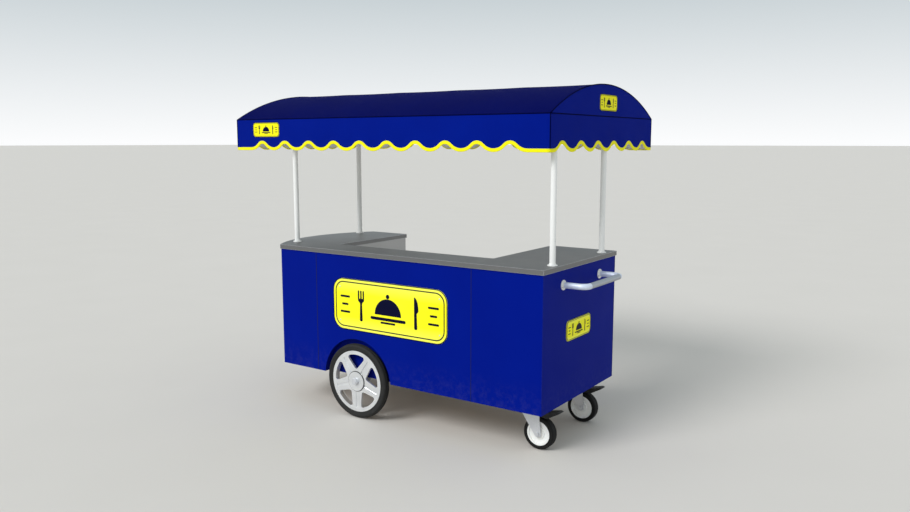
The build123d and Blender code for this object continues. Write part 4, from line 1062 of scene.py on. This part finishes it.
def make_sign(name, width, height, place, plate_thickness, node, finishes, slot_name, cell=None):
    """A plate with a painted shadow ring round its edge, its keyline and pictogram; place(u, v, out) gives
    a point in space.
    """
    face = plate_thickness - 0.02 * mm
    raised = min(0.6 * mm, plate_thickness * 0.4)
    corner = corner_share * height

    def ring(inset):
        return rounded_plate(width - 2 * inset, height - 2 * inset, corner - inset * 0.8)

    plate = bmesh.new()
    cut_sheet(plate, ring(0.0), plate_thickness, 0.0)
    graphics = bmesh.new()
    # painted shadow: a dark ring round the plate's outer edge stands in for the shade along the plate's
    # side
    cut_sheet(graphics, ring(0.0), raised, face, ring(max(0.014 * height, 3 * mm)))
    cut_sheet(graphics, ring(0.058 * height), raised, face, ring(0.078 * height))
    unit = height * drawing_scale
    for shape in pictogram():
        cut_sheet(graphics, [(u * unit, v * unit) for u, v in shape], raised, face)
    for side in (-1, 1):
        for row, reach in ((-1, 0.24), (0, 0.16), (1, 0.24)):
            dash = [(side * (width / 2 - height * 0.30) + u, v + row * 0.15 * height)
                    for u, v in rounded_plate(reach * height, 0.04 * height, 0.018 * height, 4)]
            cut_sheet(graphics, dash, raised, face)
    made = []
    for part, bm, finish in zip((name + "_plate", name + "_pictogram"), (plate, graphics), finishes):
        lay_on(bm, place, width, height, cell)
        made.append(new_piece(part, bm, finish))
    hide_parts(node)
    return made


print("a sign's corners are rounded by", corner_share, "of its height")


# %% [markdown]
# The two plates take their size and their place from the structure's own blank plates. A sign
# is drawn flat, and its placing turns it towards the side that it faces.


# %% Fix the two plates
def flat_place(origin, right, up, outward):
    return lambda u, v, out: origin + right * u + up * v + outward * out


towards_x, towards_y, towards_front, upwards = (Vector(way) for way in (
    (1, 0, 0), (0, 1, 0), (0, -1, 0), (0, 0, 1)))
signs = []
for name, right, outward in (("front_sign", towards_x, towards_front), ("end_sign", towards_y, towards_x)):
    low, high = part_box(name)
    size, middle = high - low, (low + high) / 2
    thickness = abs(size.dot(outward))
    sign_size = (size.dot(right), size.z)
    place = flat_place(middle - outward * (thickness / 2), right, upwards, outward)
    make_sign(name, *sign_size, place, thickness, name, (sign_yellow, sign_navy), "sign_yellow")
    signs.append((sign_size, place))
    print(name, [round(side, 3) for side in sign_size], "m")

# %% [markdown]
# The plates are held by four dome-headed rivets each. A rivet head is a profile turned round
# its own axis: a few rings of points, closed with one point at the crown. The small plate gets
# smaller rivets of the same profile.


# %% Rivet the plates
def add_turned(bm, place, profile, around=16):
    """Turn a profile of (radius, out) points round an axis; the last point is the crown."""
    turned = [[bm.verts.new(place(radius * c, radius * s, out)) for c, s in circle(around)]
              for radius, out in profile[:-1]]
    crown = bm.verts.new(place(0, 0, profile[-1][1]))
    for lower, upper in zip(turned, turned[1:]):
        for k in range(around):
            m = (k + 1) % around
            bm.faces.new([lower[k], lower[m], upper[m], upper[k]]).smooth = True
    for k in range(around):
        bm.faces.new([turned[-1][k], turned[-1][(k + 1) % around], crown]).smooth = True
    bm.faces.new(turned[0][::-1])


rivet_profile = [(4.6 * mm, 0.0), (4.4 * mm, 0.8 * mm), (3.2 * mm, 1.7 * mm),
                 (1.5 * mm, 2.2 * mm), (0, 2.35 * mm)]
plate_face = 2.9 * mm
rivet_inset = 0.17
full_size_height = 0.2
rivets = bmesh.new()
for (width, height), place in signs:
    inset = rivet_inset * height
    shrink = min(1.0, height / full_size_height)
    for side in (-1, 1):
        for level in (-1, 1):
            u, v = side * (width / 2 - inset), level * (height / 2 - inset)
            add_turned(rivets, lambda a, b, out, u=u, v=v, place=place, shrink=shrink:
                       place(u + a * shrink, v + b * shrink, plate_face + out * shrink), rivet_profile)
new_piece("sign_rivets", rivets, zinc)
print("rivets: 8, heads", round(2 * rivet_profile[0][0] / mm, 1), "mm across")

# %% [markdown]
# ## Sewn patches on the canopy
# The canopy carries the same sign twice, on the skirt's front and on the gable, here as cloth
# patches: yellow cloth with a painted shadow ring round its edge and the pictogram, both in navy
# embroidery. The front one has to follow the hanging skirt, so its flat sheets are cut into small
# cells and every corner of them goes through the same drape as the cloth beneath. The gable one lies flat.

# %% Sew on the patches
badge_points = [v.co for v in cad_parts["canopy_badges"].data.vertices]
patch_cloths = (tape_yellow, thread_navy)
patch_thickness = 0.9 * mm
for name, mine in (("skirt_patch", [p for p in badge_points if p.x < roof_high.x - 0.1]),
                   ("gable_patch", [p for p in badge_points if p.x > roof_high.x - 0.1])):
    low = Vector([min(p[axis] for p in mine) for axis in range(3)])
    high = Vector([max(p[axis] for p in mine) for axis in range(3)])
    middle = (low + high) / 2
    if name == "skirt_patch":
        patch_size = (high.x - low.x, high.z - low.z)
        start = middle.x - roof_low.x
        place = lambda u, v, out, start=start, level=middle.z: hang(0, start + u, level + v, out)
    else:
        patch_size = (high.y - low.y, high.z - low.z)
        place = flat_place(Vector((roof_high.x, middle.y, middle.z)), towards_y, upwards, towards_x)
    patch, embroidery = make_sign(name, *patch_size, place, patch_thickness, "canopy_badges",
                                  patch_cloths, "binding_tape", cell=12 * mm)
    print(name, [round(side, 3) for side in patch_size], "m,", len(patch.data.polygons), "faces")

# %% [markdown]
# ## Seams between the panels
# Sheet panels meet with a small gap, and the gap is closed with a bead of dark sealant that
# stands a little proud. A bead is a tube, half sunk in the seam. Without it the seam would be
# only a thin shadow; with it the front reads as separate sheets.

# %% Seal the seams
sealant = rubber("seam_sealant", srgb(10, 12, 30), srgb(20, 22, 44), srgb(44, 46, 66))
front_low, front_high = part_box("front_panel")
beads = bmesh.new()
bead_radius = 2.0 * mm
bead_depth = 0.9 * mm
seam_half = 0.75 * mm


def add_bead(x, y, low, high, radius):
    """An upright bead from the lower to the higher z of a panel."""
    add_tube(beads, [Vector((x, y, low.z + (high.z - low.z) * i / 30)) for i in range(31)],
             radius, around=8)


for x in (front_low.x - seam_half, front_high.x + seam_half):
    add_bead(x, front_low.y + bead_depth, front_low, front_high, bead_radius)
corner_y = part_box("right_end_panel")[1].y
rear_low, rear_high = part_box("right_rear_frame")
add_bead(rear_high.x - bead_depth, corner_y, rear_low, rear_high, bead_radius * 0.8)
new_piece("seam_beads", beads, sealant)
print("seams at x =", round(front_low.x, 3), "and", round(front_high.x, 3))

# %% [markdown]
# ## Dust seals on the big wheels
# A rubber lip runs round each wheel's hub disc, where it rises from the spokes, and keeps dirt
# out of the bearings. It is a small torus; a ring of points swept by the same tube helper
# gives it, and it rides with its wheel.

# %% Fit the dust seals
hub_disc_radius = 58 * mm
spoke_set_back = 5 * mm
lip_radius = 1.9 * mm
lip_ring = hub_disc_radius + lip_radius
for body in ("front_wheel", "rear_wheel"):
    low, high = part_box(body + "_rim")
    facing = -1 if body == "front_wheel" else 1
    outer_face = low.y if facing < 0 else high.y
    hub = Vector(((low.x + high.x) / 2, outer_face - facing * (spoke_set_back - 0.6 * lip_radius),
                  (low.z + high.z) / 2))
    lip = bmesh.new()
    add_tube(lip, [hub + Vector((c, 0, s)) * lip_ring for c, s in circle(72)], lip_radius,
             closed=True, around=8)
    new_piece(body + "_dust_seal", lip, tyre_rubber, body)
print("dust seals fitted,", round(2 * hub_disc_radius / mm), "mm across")
